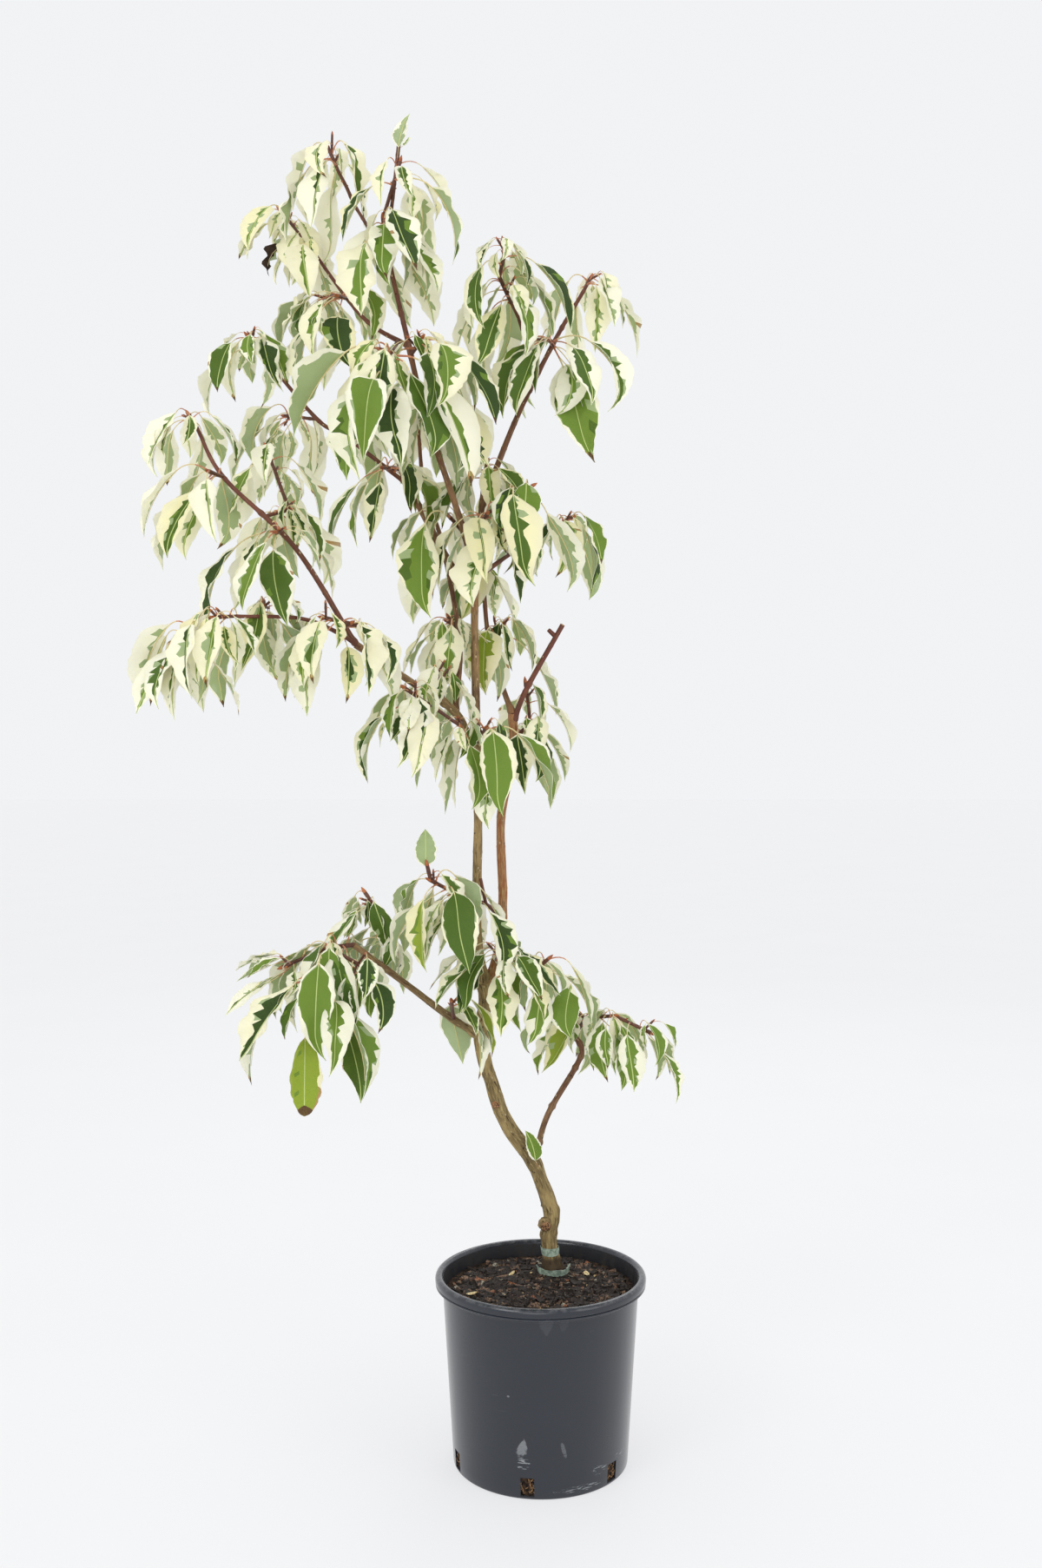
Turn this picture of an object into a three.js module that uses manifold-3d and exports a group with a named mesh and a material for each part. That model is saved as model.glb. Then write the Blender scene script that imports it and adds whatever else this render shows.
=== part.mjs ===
// A variegated giant dogwood, about 1.57 m tall, in a black nursery pot.
// Millimetres, +Z up. The origin is the middle of the pot's flat underside, and -Y is the front.
import * as THREE from "three";
import { mergeVertices } from "three/addons/utils/BufferGeometryUtils.js";
import Module from "manifold-3d";

const wasm = await Module();
wasm.setup();
const { Manifold } = wasm;

const GAP = 0.3; // between solids that touch on the real plant
const DEG = Math.PI / 180;
const UP = new THREE.Vector3(0, 0, 1);
const WELD = 1e-3; // places nearer than this are one

// The pot: radii and heights of its wall, base and rolled rim.
const POT = {
  height: 223,
  baseRadius: 104.5,
  neckRadius: 117.5, // outside, just under the rim
  neckHeight: 209,
  innerHeight: 206, // where the inside of the wall meets the rim
  rimRadius: 126.5,
  wall: 2.4,
  floor: 2.4,
  corner: 2.5,
  segments: 36,
};
// The rolled rim's section from its outer foot to its inner edge: in from its radius, down from its top.
const RIM = [[2.5, 13.4], [0, 10], [0, 4], [2.5, 0.8], [5.5, 0], [8.5, 1.4]];
// Drainage slots through the foot of the wall. The first one's angle is measured from +X.
const SLOT = { count: 6, width: 16, depth: 30, low: 3.4, high: 25, firstAngle: -99 };
const SOIL = { top: 205, edge: 4, edgeDrop: 2 };

// The grafting tape: a tight band on the trunk and a loose loop round its foot.
const TAPE = {
  thick: 1,
  low: 222,
  high: 234,
  loopRadius: 20,
  loopFlare: 3,
  loopHeight: 9,
  loopForward: 3, // the loop's middle is this far in front of the trunk's
  segments: 20,
};

// The limbs. Each grows from a place on its parent, where 2.5 is half way from the parent's place 2
// to its place 3, runs through the places of its path, and tapers between two radii.
const LIMBS = {
  trunk: {
    path: [[15, 60, 205.3], [11, 58, 248], [14, 57, 277], [-4, 51, 335], [-38, 42, 386],
      [-56, 35, 430], [-72, 26, 495], [-66, 20, 548], [-69, 18, 567]],
    radii: [11, 7.4],
    sides: 10,
    flare: 4,
  },
  left_stem: {
    from: "trunk", at: 8,
    path: [[-77, 12, 637], [-75, 2, 777], [-78, -8, 937], [-78, -10, 1050], [-67, -6, 1170]],
    radii: [6.3, 3.8],
  },
  right_stem: {
    from: "trunk", at: 7.6,
    path: [[-51, 35, 603], [-46, 44, 668], [-48, 48, 768], [-33, 50, 840], [-34, 50, 895]],
    radii: [6, 5],
  },
  back_stem: {
    from: "right_stem", at: 5,
    path: [[-46, 57, 928], [-64, 65, 990], [-71, 76, 1067]],
    radii: [3.8, 2.6],
  },
  cut_branch: {
    from: "right_stem", at: 4.8,
    path: [[-17, 40, 925], [27, 12, 1002]],
    radii: [3.6, 3],
  },
  left_bough: {
    from: "left_stem", at: 3.9,
    path: [[-106, 6, 1070], [-150, 50, 1153], [-174, 75, 1203], [-194, 110, 1287]],
    radii: [5, 3],
  },
  left_straight: {
    from: "left_bough", at: 2.6,
    path: [[-240, 45, 1237], [-273, 30, 1255], [-334, -18, 1324]],
    radii: [2.8, 2.2],
  },
  leader: {
    from: "left_stem", at: 4.1,
    path: [[-98, -36, 1130], [-134, -70, 1237], [-156, -86, 1330], [-177, -90, 1418]],
    radii: [4.2, 2.6],
  },
  upper_left_bough: {
    from: "leader", at: 2.8,
    path: [[-195, -60, 1342], [-224, -42, 1375], [-271, -8, 1445]],
    radii: [2.8, 2],
  },
  right_bough: {
    from: "left_stem", at: 4.8,
    path: [[-27, 10, 1256], [19, 30, 1353], [54, 45, 1417]],
    radii: [3.8, 2.2],
  },
  low_left_bough: {
    from: "left_stem", at: 2.4,
    path: [[-101, -38, 894], [-150, -63, 928], [-211, -98, 969]],
    radii: [4.6, 3.6],
  },
  inner_stem: {
    from: "low_left_bough", at: 1,
    path: [[-98, 5, 985], [-123, 60, 1113], [-146, 88, 1180], [-156, 100, 1294]],
    radii: [3.6, 2.2],
  },
  outer_left_bough: {
    from: "low_left_bough", at: 3,
    path: [[-278, -112, 1077], [-360, -108, 1158], [-393, -100, 1218]],
    radii: [3.3, 2],
  },
  lowest_left_bough: {
    from: "low_left_bough", at: 2.9,
    path: [[-231, -118, 982], [-267, -150, 994], [-329, -195, 992]],
    radii: [2.6, 1.9],
  },
  bottom_left_bough: {
    from: "trunk", at: 6.1,
    path: [[-109, 10, 527], [-154, -15, 566], [-219, -50, 622]],
    radii: [4.8, 3.4],
  },
  bottom_right_bough: {
    from: "trunk", at: 3.1,
    path: [[9, 61, 395], [46, 80, 454], [53, 84, 474], [44, 86, 491]],
    radii: [3.2, 2.6],
  },
};

const LIMB_SIDES = 6;
const RINGS_PER_SPAN = 2;
const FLARE_FADE = 9; // how fast the root flare fades from one place of the path to the next
const FOOT_CUT = 80; // side of the block that cuts the trunk's foot flat
const FACING = [0.2, -1, 0.1]; // a direction that no limb runs along

// The pruned knob and the old node on the trunk: centre and radius.
const KNOBS = [[6, 49, 264, 7.5], [-62, 30, 420, 5]];

// The masses of foliage. Each grows from a place on its limb by twigs that run from knot to knot.
// A knot is its place, its leaves and their length, then the knot that its twig leaves from, where
// that isn't the one before, and how far its leaves droop, where that isn't straight down.
const MASSES = {
  leader_top: {
    limb: "leader", at: 4,
    knots: [[-181, -92, 1455, 9, 95], [-162, -88, 1522, 5, 92], [-163, -86, 1546, 2, 34, -1, -0.6]],
  },
  top_left: {
    limb: "leader", at: 3.8,
    knots: [[-194, -80, 1440, 0, 0], [-218, -60, 1485, 0, 0], [-250, -45, 1556, 7, 90]],
  },
  upper_left_tip: {
    limb: "upper_left_bough", at: 3,
    knots: [[-282, -2, 1461, 4, 80], [-316, 12, 1505, 5, 80]],
  },
  upper_left_mid: {
    limb: "upper_left_bough", at: 2.1,
    knots: [[-236, -66, 1376, 8, 88], [-262, 5, 1395, 6, 80]],
  },
  front_whorl: { limb: "upper_left_bough", at: 0.3, knots: [[-170, -150, 1275, 10, 115]] },
  leader_right: { limb: "leader", at: 2.7, knots: [[-134, -120, 1312, 8, 100]] },
  left_straight_tip: { limb: "left_straight", at: 3, knots: [[-346, -32, 1338, 6, 80]] },
  left_stub: { limb: "left_straight", at: 2, knots: [[-317, 60, 1266, 9, 85]] },
  inner_twig: {
    limb: "outer_left_bough", at: 1.4,
    knots: [[-289, -85, 1125, 5, 85], [-320, -60, 1201, 6, 80]],
  },
  outer_left_tip: { limb: "outer_left_bough", at: 3, knots: [[-401, -98, 1230, 6, 75]] },
  outer_left_mid: { limb: "outer_left_bough", at: 2, knots: [[-370, -140, 1158, 8, 88]] },
  outer_left_inner: { limb: "outer_left_bough", at: 1.2, knots: [[-294, -150, 1089, 5, 90]] },
  lowest_left_tip: {
    limb: "lowest_left_bough", at: 3,
    knots: [[-350, -202, 990, 7, 85], [-384, -212, 970, 9, 90]],
  },
  lowest_left_inner: { limb: "lowest_left_bough", at: 2.6, knots: [[-307, -150, 1012, 4, 90]] },
  lower_drop: {
    limb: "lowest_left_bough", at: 1,
    knots: [[-213, -135, 990, 4, 75], [-240, -158, 994, 9, 88]],
  },
  low_red_twig: {
    limb: "low_left_bough", at: 0.8,
    knots: [[-94, -68, 878, 4, 75], [-156, -95, 920, 7, 82]],
  },
  low_knot: { limb: "low_left_bough", at: 1.3, knots: [[-125, -25, 945, 5, 80]] },
  left_bough_front: { limb: "left_bough", at: 3, knots: [[-192, 15, 1193, 9, 85]] },
  behind_leader: { limb: "leader", at: 0.7, knots: [[-118, 0, 1140, 4, 110]] },
  stem_top: { limb: "left_stem", at: 5, knots: [[-66, -6, 1190, 9, 90]] },
  inner_stem_top: { limb: "inner_stem", at: 4, knots: [[-156, 101, 1314, 7, 90]] },
  left_bough_top: { limb: "left_bough", at: 4, knots: [[-202, 118, 1308, 8, 90]] },
  leader_mid: { limb: "leader", at: 2, knots: [[-97, -40, 1258, 9, 90]] },
  stem_front: {
    limb: "left_stem", at: 4.6,
    knots: [[-62, -60, 1125, 8, 95], [-11, -50, 1158, 3, 105]],
  },
  right_low_twig: {
    limb: "left_stem", at: 4.05,
    knots: [[-27, 40, 1098, 0, 0], [9, 60, 1124, 2, 70], [41, 70, 1142, 7, 80]],
  },
  right_fork: {
    limb: "right_bough", at: 1.5,
    knots: [[-27, -30, 1362, 0, 0], [-49, -60, 1400, 8, 90], [-40, -72, 1431, 3, 80]],
  },
  right_bough_mid: { limb: "right_bough", at: 1.9, knots: [[10, -15, 1340, 10, 112]] },
  right_bough_tip: { limb: "right_bough", at: 3, knots: [[62, 48, 1433, 6, 85]] },
  back_stem_top: { limb: "back_stem", at: 3, knots: [[-74, 80, 1084, 6, 80]] },
  inner_stem_mid: { limb: "inner_stem", at: 1, knots: [[-112, 25, 1012, 6, 80]] },
  back_stem_right: { limb: "back_stem", at: 2, knots: [[-46, 84, 1008, 4, 95]] },
  right_stem_top: {
    limb: "right_stem", at: 4.4,
    knots: [[-12, 66, 885, 9, 76], [-18, 70, 935, 3, 75]],
  },
  stem_low_front: { limb: "left_stem", at: 2.5, knots: [[-64, -48, 876, 5, 100]] },
  mid_left_twig: {
    limb: "right_stem", at: 1.7,
    knots: [[-66, 5, 665, 0, 0], [-72, -6, 696, 0, 0], [-98, -20, 678, 6, 90, 0],
      [-130, -34, 696, 7, 98], [-134, -38, 714, 1, 58, 3, -1]],
  },
  front_low: { limb: "right_stem", at: 0.8, knots: [[-49, -40, 612, 10, 85, -1, 0.6]] },
  right_low: {
    limb: "trunk", at: 7.1,
    knots: [[-34, -6, 562, 0, 0], [9, -15, 601, 8, 88]],
  },
  bottom_right_tip: {
    limb: "bottom_right_bough", at: 4,
    knots: [[58, 80, 514, 4, 75], [92, 50, 522, 6, 75], [136, 32, 504, 5, 65], [30, 96, 526, 3, 70, 0]],
  },
  bottom_left_under: { limb: "bottom_left_bough", at: 0.9, knots: [[-106, -28, 553, 6, 80]] },
  bottom_left_up: {
    limb: "bottom_left_bough", at: 2.5,
    knots: [[-184, -12, 642, 6, 85], [-210, -12, 680, 4, 70]],
  },
  bottom_left_tip: {
    limb: "bottom_left_bough", at: 3,
    knots: [[-245, -72, 622, 9, 90], [-300, -62, 598, 3, 70, 0, 0.35], [-254, -112, 582, 7, 104, 0],
      [-205, -98, 604, 4, 85, 0]],
  },
};

// The leaf. Ranges are [least, most]; angles are in degrees.
const LEAF = {
  turn: 137.5, // round the shoot from one leaf to the next
  turnPlay: 24, // how freely that varies
  triedPlay: 10, // and how much more freely with each pose tried
  crowd: 32, // length of shoot that a knot's leaves share
  crowdShare: 0.75, // and the most of a short twig that they share
  stalk: [0.3, 0.56], // stalk's length, as a share of the blade's
  halfWidth: [0.19, 0.235], // likewise the blade's half width
  thick: 1 / 60, // likewise the blade's thickness at its middle
  bend: 0.55, // share of the stalk after which it bends over
  size: [0.8, 1.12],
  topSize: 0.82, // the highest leaf's size, next to the lowest's
  spread: [84, 38], // between shoot and stalk, lowest leaf and highest
  spreadPlay: 20,
  baseDrop: [34, 72], // how far the blade points below level where it starts
  tipDrop: [78, 110], // and at its tip
  roll: 26,
  twist: 24,
  fold: [14, 40], // how far each half is folded up from the midrib
};
const TRIES = 8; // poses tried for a leaf, the clearest one kept
const LEAST_ROOM = 0.45; // a leaf whose best pose has less is skipped
const SOLID_ROOM = 0.6; // and one with less than this has no solid of its own
const LEAF_ROOM = 15; // mm between leaves that counts as full room
const BARK_ROOM = 7; // likewise between a leaf and bark
const BARK_STEP = 10; // mm along a limb between the places that leaves are kept clear of
const LEAF_REACH = 200; // mm that no leaf reaches past its twigs
// Where a leaf's room is measured: share of its length, and share of its half width there.
const ROOM_ROWS = [[0.1, 0.5], [0.35, 1], [0.62, 0.75], [0.85, 0.3]];

// Twigs and buds. A twig is at most a share of its limb's radius, and a step wider than its parent's tip.
const TWIG = { tip: 1.9, taper: 0.009, share: 0.88, step: 0.3, bud: 8, sides: 4 };
const UPTURN = 0.6; // how far a whorl's axis leans up from its twig
const ACROSS = new THREE.Vector3(0.31, 0.95, 0); // the level direction that turns are measured from
const PHASE = 77; // the key of a whorl's first turn
const NEARLY_UPRIGHT = 0.05; // a stalk this close to upright has no heading of its own

// The solid leaf is widest at one section: how far along the blade, and its share of the half width.
const WIDEST = { share: 0.4, width: 1.1 };
const STALK_RADIUS = 0.95;

// A number from 0 to 1 that depends only on the whole numbers given.
function chance(...keys) {
  let h = 2166136261;
  for (const key of keys) {
    h = Math.imul(h ^ key, 16777619);
    h = Math.imul(h ^ (h >>> 15), 2246822507);
    h ^= h >>> 13;
  }
  return (h >>> 0) / 4294967296;
}

function mix(a, b, t) {
  return a + (b - a) * t;
}

function vec(place) {
  return new THREE.Vector3(place[0], place[1], place[2]);
}

// A smooth curve through places, as a limb's centre line.
class Line {
  constructor(places) {
    this.curve = new THREE.CatmullRomCurve3(places, false, "catmullrom", 0.5);
    this.spans = places.length - 1;
  }
  point(at) {
    return this.curve.getPoint(at / this.spans);
  }
  heading(at) {
    const step = 0.02;
    const before = this.point(Math.max(at - step, 0));
    return this.point(Math.min(at + step, this.spans)).sub(before).normalize();
  }
}

// The limbs' centre lines and their radii.
const lines = {};
for (const [name, limb] of Object.entries(LIMBS)) {
  const places = limb.path.map(vec);
  if (limb.from) places.unshift(lines[limb.from].point(limb.at));
  lines[name] = new Line(places);
}

function limbRadius(name, at) {
  const [start, end] = LIMBS[name].radii;
  const share = at / lines[name].spans;
  const flare = LIMBS[name].flare ?? 0;
  return mix(start, end, share) + flare * Math.exp(-FLARE_FADE * at);
}

// A mass's twigs, one for each knot: its centre line, its radii and its knot's leaves.
function twigsOf(mass) {
  const { limb, at, knots } = MASSES[mass];
  const start = lines[limb].point(at);
  const most = TWIG.share * limbRadius(limb, at);
  const twigs = [];
  knots.forEach(([x, y, z, leaves, length, from = twigs.length - 1, droop = 1], index) => {
    const parent = twigs[from];
    const foot = parent ? parent.end : start;
    const end = new THREE.Vector3(x, y, z);
    const line = new Line([foot, end]);
    const reach = foot.distanceTo(end);
    const thick = Math.min(TWIG.tip + TWIG.taper * reach * (1 + knots.length - index), most);
    const radii = [parent ? Math.min(thick, parent.radii[1] + TWIG.step) : thick, TWIG.tip];
    const along = end.clone().sub(foot).normalize();
    twigs.push({ index, line, end, reach, radii, along, leaves, length, droop });
  });
  return twigs;
}

// One pose of a leaf: where its stalk leaves the twig, and how its blade hangs.
function leafPose(massIndex, twig, leaf, attempt) {
  const random = (channel) => chance(massIndex, twig.index, leaf, attempt, channel);
  const range = ([least, most], channel) => mix(least, most, random(channel));
  const rank = (leaf + 0.5) / twig.leaves;
  const crowd = Math.min(LEAF.crowdShare, LEAF.crowd / twig.reach);
  const root = twig.line.point(1 - (1 - rank) * crowd);
  const axis = twig.along.clone().addScaledVector(UP, UPTURN).normalize();
  const across = new THREE.Vector3().crossVectors(axis, ACROSS).normalize();
  const beside = new THREE.Vector3().crossVectors(axis, across);
  const phase = 360 * chance(massIndex, twig.index, PHASE);
  const play = LEAF.turnPlay + LEAF.triedPlay * attempt;
  const turn = (phase + leaf * LEAF.turn + play * (random(1) - 0.5)) * DEG;
  const spread = (mix(LEAF.spread[0], LEAF.spread[1], rank) + LEAF.spreadPlay * (random(2) - 0.5)) * DEG;
  const out = across.multiplyScalar(Math.cos(turn)).addScaledVector(beside, Math.sin(turn));
  const away = axis.multiplyScalar(Math.cos(spread)).addScaledVector(out, Math.sin(spread));
  const heading = new THREE.Vector3(away.x, away.y, 0);
  if (heading.length() < NEARLY_UPRIGHT) heading.set(out.x, out.y, 0);
  heading.normalize();
  const length = twig.length * range(LEAF.size, 3) * mix(1, LEAF.topSize, rank * rank);
  const baseDrop = -range(LEAF.baseDrop, 4) * twig.droop * DEG;
  const tipDrop = -range(LEAF.tipDrop, 5) * twig.droop * DEG;
  const first = heading.clone().multiplyScalar(Math.cos(baseDrop)).addScaledVector(UP, Math.sin(baseDrop));
  const stalk = length * range(LEAF.stalk, 6);
  const bend = root.clone().addScaledVector(away, stalk * LEAF.bend);
  const base = bend.clone().addScaledVector(first, stalk * (1 - LEAF.bend));
  return {
    root, bend, base, away, heading, length, baseDrop, tipDrop,
    halfWidth: length * range(LEAF.halfWidth, 7),
    roll: LEAF.roll * (2 * random(8) - 1) * DEG,
    twist: LEAF.twist * (2 * random(9) - 1) * DEG,
    fold: range(LEAF.fold, 10) * DEG,
  };
}

// The midrib's place a share of the way along the blade, with the directions across and out of it.
function bladeRow(pose, share) {
  const { heading, baseDrop, tipDrop } = pose;
  const drop = mix(baseDrop, tipDrop, share);
  const reach = pose.length / (tipDrop - baseDrop);
  const place = pose.base.clone()
    .addScaledVector(heading, reach * (Math.sin(drop) - Math.sin(baseDrop)))
    .addScaledVector(UP, reach * (Math.cos(baseDrop) - Math.cos(drop)));
  const level = new THREE.Vector3().crossVectors(UP, heading);
  const out = heading.clone().multiplyScalar(-Math.sin(drop)).addScaledVector(UP, Math.cos(drop));
  const roll = pose.roll + pose.twist * share;
  const side = level.clone().multiplyScalar(Math.cos(roll)).addScaledVector(out, Math.sin(roll));
  const face = out.multiplyScalar(Math.cos(roll)).addScaledVector(level, -Math.sin(roll));
  return { place, side, face };
}

// The two margins of the blade at a row, a given half width from the midrib.
function margins(pose, row, halfWidth) {
  const across = halfWidth * Math.cos(pose.fold);
  const raised = row.place.clone().addScaledVector(row.face, halfWidth * Math.sin(pose.fold));
  return [across, -across].map((distance) => raised.clone().addScaledVector(row.side, distance));
}

// Places on the leaf that its room is measured from.
function leafSamples(pose) {
  const samples = [pose.bend];
  for (const [share, width] of ROOM_ROWS) {
    const row = bladeRow(pose, share);
    samples.push(row.place, ...margins(pose, row, pose.halfWidth * width));
  }
  samples.push(bladeRow(pose, 1).place);
  return samples;
}

// The room round a leaf: 1 is enough, 0 is touching.
function roomOf(samples, leaves, bark) {
  let room = 1;
  for (const sample of samples) {
    for (const other of leaves) room = Math.min(room, sample.distanceTo(other) / LEAF_ROOM);
    for (const [centre, radius] of bark) {
      room = Math.min(room, (sample.distanceTo(centre) - radius) / BARK_ROOM);
    }
  }
  return room;
}

// Centres and radii along a line that leaves keep clear of.
function barkAlong(line, radius) {
  const length = line.curve.getLength();
  const steps = Math.max(2, Math.round(length / BARK_STEP));
  return Array.from({ length: steps + 1 }, (_, i) => {
    const at = (line.spans * i) / steps;
    return [line.point(at), radius(at)];
  });
}

// The whole crown: for each mass its twigs, and for each twig its leaves' poses.
function growCrown() {
  const crown = Object.keys(MASSES).map((mass) => ({ mass, twigs: twigsOf(mass) }));
  const bark = Object.keys(LIMBS).flatMap((name) => barkAlong(lines[name], (at) => limbRadius(name, at)));
  for (const { twigs } of crown) {
    for (const twig of twigs) bark.push(...barkAlong(twig.line, () => TWIG.tip));
  }
  const taken = [];
  crown.forEach(({ twigs }, massIndex) => {
    for (const twig of twigs) {
      twig.poses = [];
      for (let leaf = 0; leaf < twig.leaves; leaf++) {
        let best = { room: LEAST_ROOM };
        for (let attempt = 0; attempt < TRIES; attempt++) {
          const pose = leafPose(massIndex, twig, leaf, attempt);
          const samples = leafSamples(pose);
          const room = roomOf(samples, taken, bark);
          if (room > best.room) best = { room, pose, samples };
        }
        if (!best.pose) continue;
        twig.poses.push({ ...best.pose, room: best.room });
        taken.push(...best.samples);
      }
    }
  });
  return crown;
}

// A closed surface over sections, each a ring of places, or one place for a pointed end.
function loft(sections) {
  const vertices = sections.flat();
  const index = [];
  let start = 0;
  for (let s = 0; s + 1 < sections.length; s++) {
    const lower = sections[s];
    const upper = sections[s + 1];
    const next = start + lower.length;
    for (let i = 0; i < lower.length; i++) {
      const j = (i + 1) % lower.length;
      if (upper.length === 1) {
        index.push(start + i, start + j, next);
      } else {
        index.push(start + i, start + j, next + j, start + i, next + j, next + i);
      }
    }
    start = next;
  }
  for (let i = 1; i + 1 < sections[0].length; i++) index.push(0, i + 1, i);
  const last = sections[sections.length - 1];
  for (let i = 1; i + 1 < last.length; i++) index.push(start, start + i, start + i + 1);
  const geometry = new THREE.BufferGeometry().setFromPoints(vertices);
  geometry.setIndex(index);
  return solidOf(geometry);
}

function solidOf(geometry) {
  geometry.deleteAttribute("normal");
  geometry.deleteAttribute("uv");
  const merged = mergeVertices(geometry, WELD);
  const vertProperties = merged.getAttribute("position").array;
  const triVerts = new Uint32Array(merged.index.array);
  return new Manifold(new wasm.Mesh({ numProp: 3, vertProperties, triVerts }));
}

function geometryOf(solid) {
  const mesh = solid.getMesh();
  const geometry = new THREE.BufferGeometry();
  geometry.setAttribute("position", new THREE.BufferAttribute(mesh.vertProperties, 3));
  geometry.setIndex(new THREE.BufferAttribute(mesh.triVerts, 1));
  geometry.computeVertexNormals();
  return geometry;
}

function largest(solid) {
  return solid.decompose().reduce((a, b) => (b.volume() > a.volume() ? b : a));
}

function boxesMeet(a, b, margin) {
  const [p, q] = [a.boundingBox(), b.boundingBox()];
  return [0, 1, 2].every((k) => p.min[k] - margin < q.max[k] && q.min[k] - margin < p.max[k]);
}

// A round limb along a line: rings turned with the line, without twisting.
function tube(line, radius, sides, rings, { extra = 0, point = 0 } = {}) {
  const sections = [];
  let normal = vec(FACING);
  for (let i = 0; i <= rings; i++) {
    const at = (line.spans * i) / rings;
    const along = line.heading(at);
    normal = normal.addScaledVector(along, -normal.dot(along)).normalize().clone();
    const binormal = new THREE.Vector3().crossVectors(along, normal);
    const end = i === 0 ? -extra : i === rings ? extra : 0;
    const centre = line.point(at).addScaledVector(along, end);
    const reach = radius(at) + extra / Math.cos(Math.PI / sides);
    sections.push(Array.from({ length: sides }, (_, k) => {
      const turn = (2 * Math.PI * k) / sides;
      return centre.clone()
        .addScaledVector(normal, reach * Math.cos(turn))
        .addScaledVector(binormal, reach * Math.sin(turn));
    }));
    if (i === rings && point) sections.push([centre.clone().addScaledVector(along, point)]);
  }
  return loft(sections);
}

function ball([x, y, z, radius], extra = 0) {
  return solidOf(new THREE.IcosahedronGeometry(radius + extra, 0).translate(x, y, z));
}

// The limbs, each cut by the ones it grows from, and each again a gap larger all round.
const limbSolids = {};
const limbHulls = {};
for (const [name, limb] of Object.entries(LIMBS)) {
  const line = lines[name];
  const sides = limb.sides ?? LIMB_SIDES;
  const rings = RINGS_PER_SPAN * line.spans;
  const radius = (at) => limbRadius(name, at);
  let solid = tube(line, radius, sides, rings);
  let hull = tube(line, radius, sides, rings, { extra: GAP });
  if (name === "trunk") {
    for (const knob of KNOBS) {
      solid = solid.add(ball(knob));
      hull = hull.add(ball(knob, GAP));
    }
    const under = new THREE.BoxGeometry(FOOT_CUT, FOOT_CUT, FOOT_CUT).translate(0, 0, -FOOT_CUT / 2);
    solid = solid.subtract(solidOf(under.translate(...limb.path[0])));
  }
  for (const other of Object.values(limbHulls)) {
    if (boxesMeet(solid, other, 0)) solid = solid.subtract(other);
  }
  limbSolids[name] = largest(solid);
  limbHulls[name] = hull;
}

// A leaf as a solid: a three-sided stalk, and a blade that is folded up from its midrib.
function leafSolid(pose) {
  const base = bladeRow(pose, 0);
  const along = base.place.clone().sub(pose.root).normalize();
  const across = base.side.clone().addScaledVector(along, -base.side.dot(along)).normalize();
  const above = new THREE.Vector3().crossVectors(along, across);
  const stalk = (place) => [[1, 0.5], [-1, 0.5], [0, -1]].map(([a, b]) => place.clone()
    .addScaledVector(across, a * STALK_RADIUS)
    .addScaledVector(above, b * STALK_RADIUS));
  const widest = bladeRow(pose, WIDEST.share);
  const under = widest.place.clone().addScaledVector(widest.face, -pose.length * LEAF.thick);
  return loft([
    stalk(pose.root),
    stalk(base.place),
    [...margins(pose, widest, pose.halfWidth * WIDEST.width), under],
    [bladeRow(pose, 1).place],
  ]);
}

// Whether a solid is at least a gap clear of all the others.
function clearOf(solid, others) {
  return others.every((other) => !boxesMeet(solid, other, GAP) || solid.minGap(other, 2 * GAP) >= GAP);
}

// The masses. All the twigs come first, so that every leaf can be tested against them.
const crown = growCrown();
const hulls = Object.values(limbHulls);
for (const grown of crown) {
  const tubes = grown.twigs.map((twig) => {
    const [thick, thin] = twig.radii;
    return tube(twig.line, (at) => mix(thick, thin, at), TWIG.sides, 1, { point: TWIG.bud });
  });
  let solid = Manifold.union(tubes);
  for (const hull of hulls) {
    if (boxesMeet(solid, hull, 0)) solid = solid.subtract(hull);
  }
  grown.solid = largest(solid);
}
for (const grown of crown) {
  const others = [...Object.values(limbSolids)];
  for (const other of crown) {
    if (other !== grown) others.push(other.solid);
  }
  const near = others.filter((other) => boxesMeet(grown.solid, other, LEAF_REACH));
  const poses = grown.twigs.flatMap((twig) => twig.poses).filter((pose) => pose.room > SOLID_ROOM);
  const leaves = poses.map(leafSolid);
  const kept = leaves.filter((leaf) => clearOf(leaf, near));
  grown.solid = largest(Manifold.union([grown.solid, ...kept]));
}

// A solid of revolution about +Z from a section of radii and heights.
function turned(section, segments) {
  const profile = section.map(([radius, height]) => new THREE.Vector2(radius, height));
  return solidOf(new THREE.LatheGeometry(profile, segments).rotateX(Math.PI / 2));
}

// The pot: one turned shell, with a rolled rim, and slots cut through the foot of its wall.
function potSolid() {
  const { height, baseRadius, neckRadius, neckHeight, innerHeight, rimRadius, wall, floor, corner } = POT;
  let pot = turned([
    [0, 0],
    [baseRadius - corner, 0],
    [baseRadius, corner],
    [neckRadius, neckHeight],
    ...RIM.map(([inward, down]) => [rimRadius - inward, height - down]),
    [neckRadius - wall, innerHeight],
    [baseRadius - wall, floor],
    [0, floor],
  ], POT.segments);
  for (let i = 0; i < SLOT.count; i++) {
    const slot = new THREE.BoxGeometry(SLOT.depth, SLOT.width, SLOT.high - SLOT.low);
    slot.translate(baseRadius, 0, (SLOT.low + SLOT.high) / 2);
    slot.rotateZ((SLOT.firstAngle + (360 * i) / SLOT.count) * DEG);
    pot = pot.subtract(solidOf(slot));
  }
  return pot;
}

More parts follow.
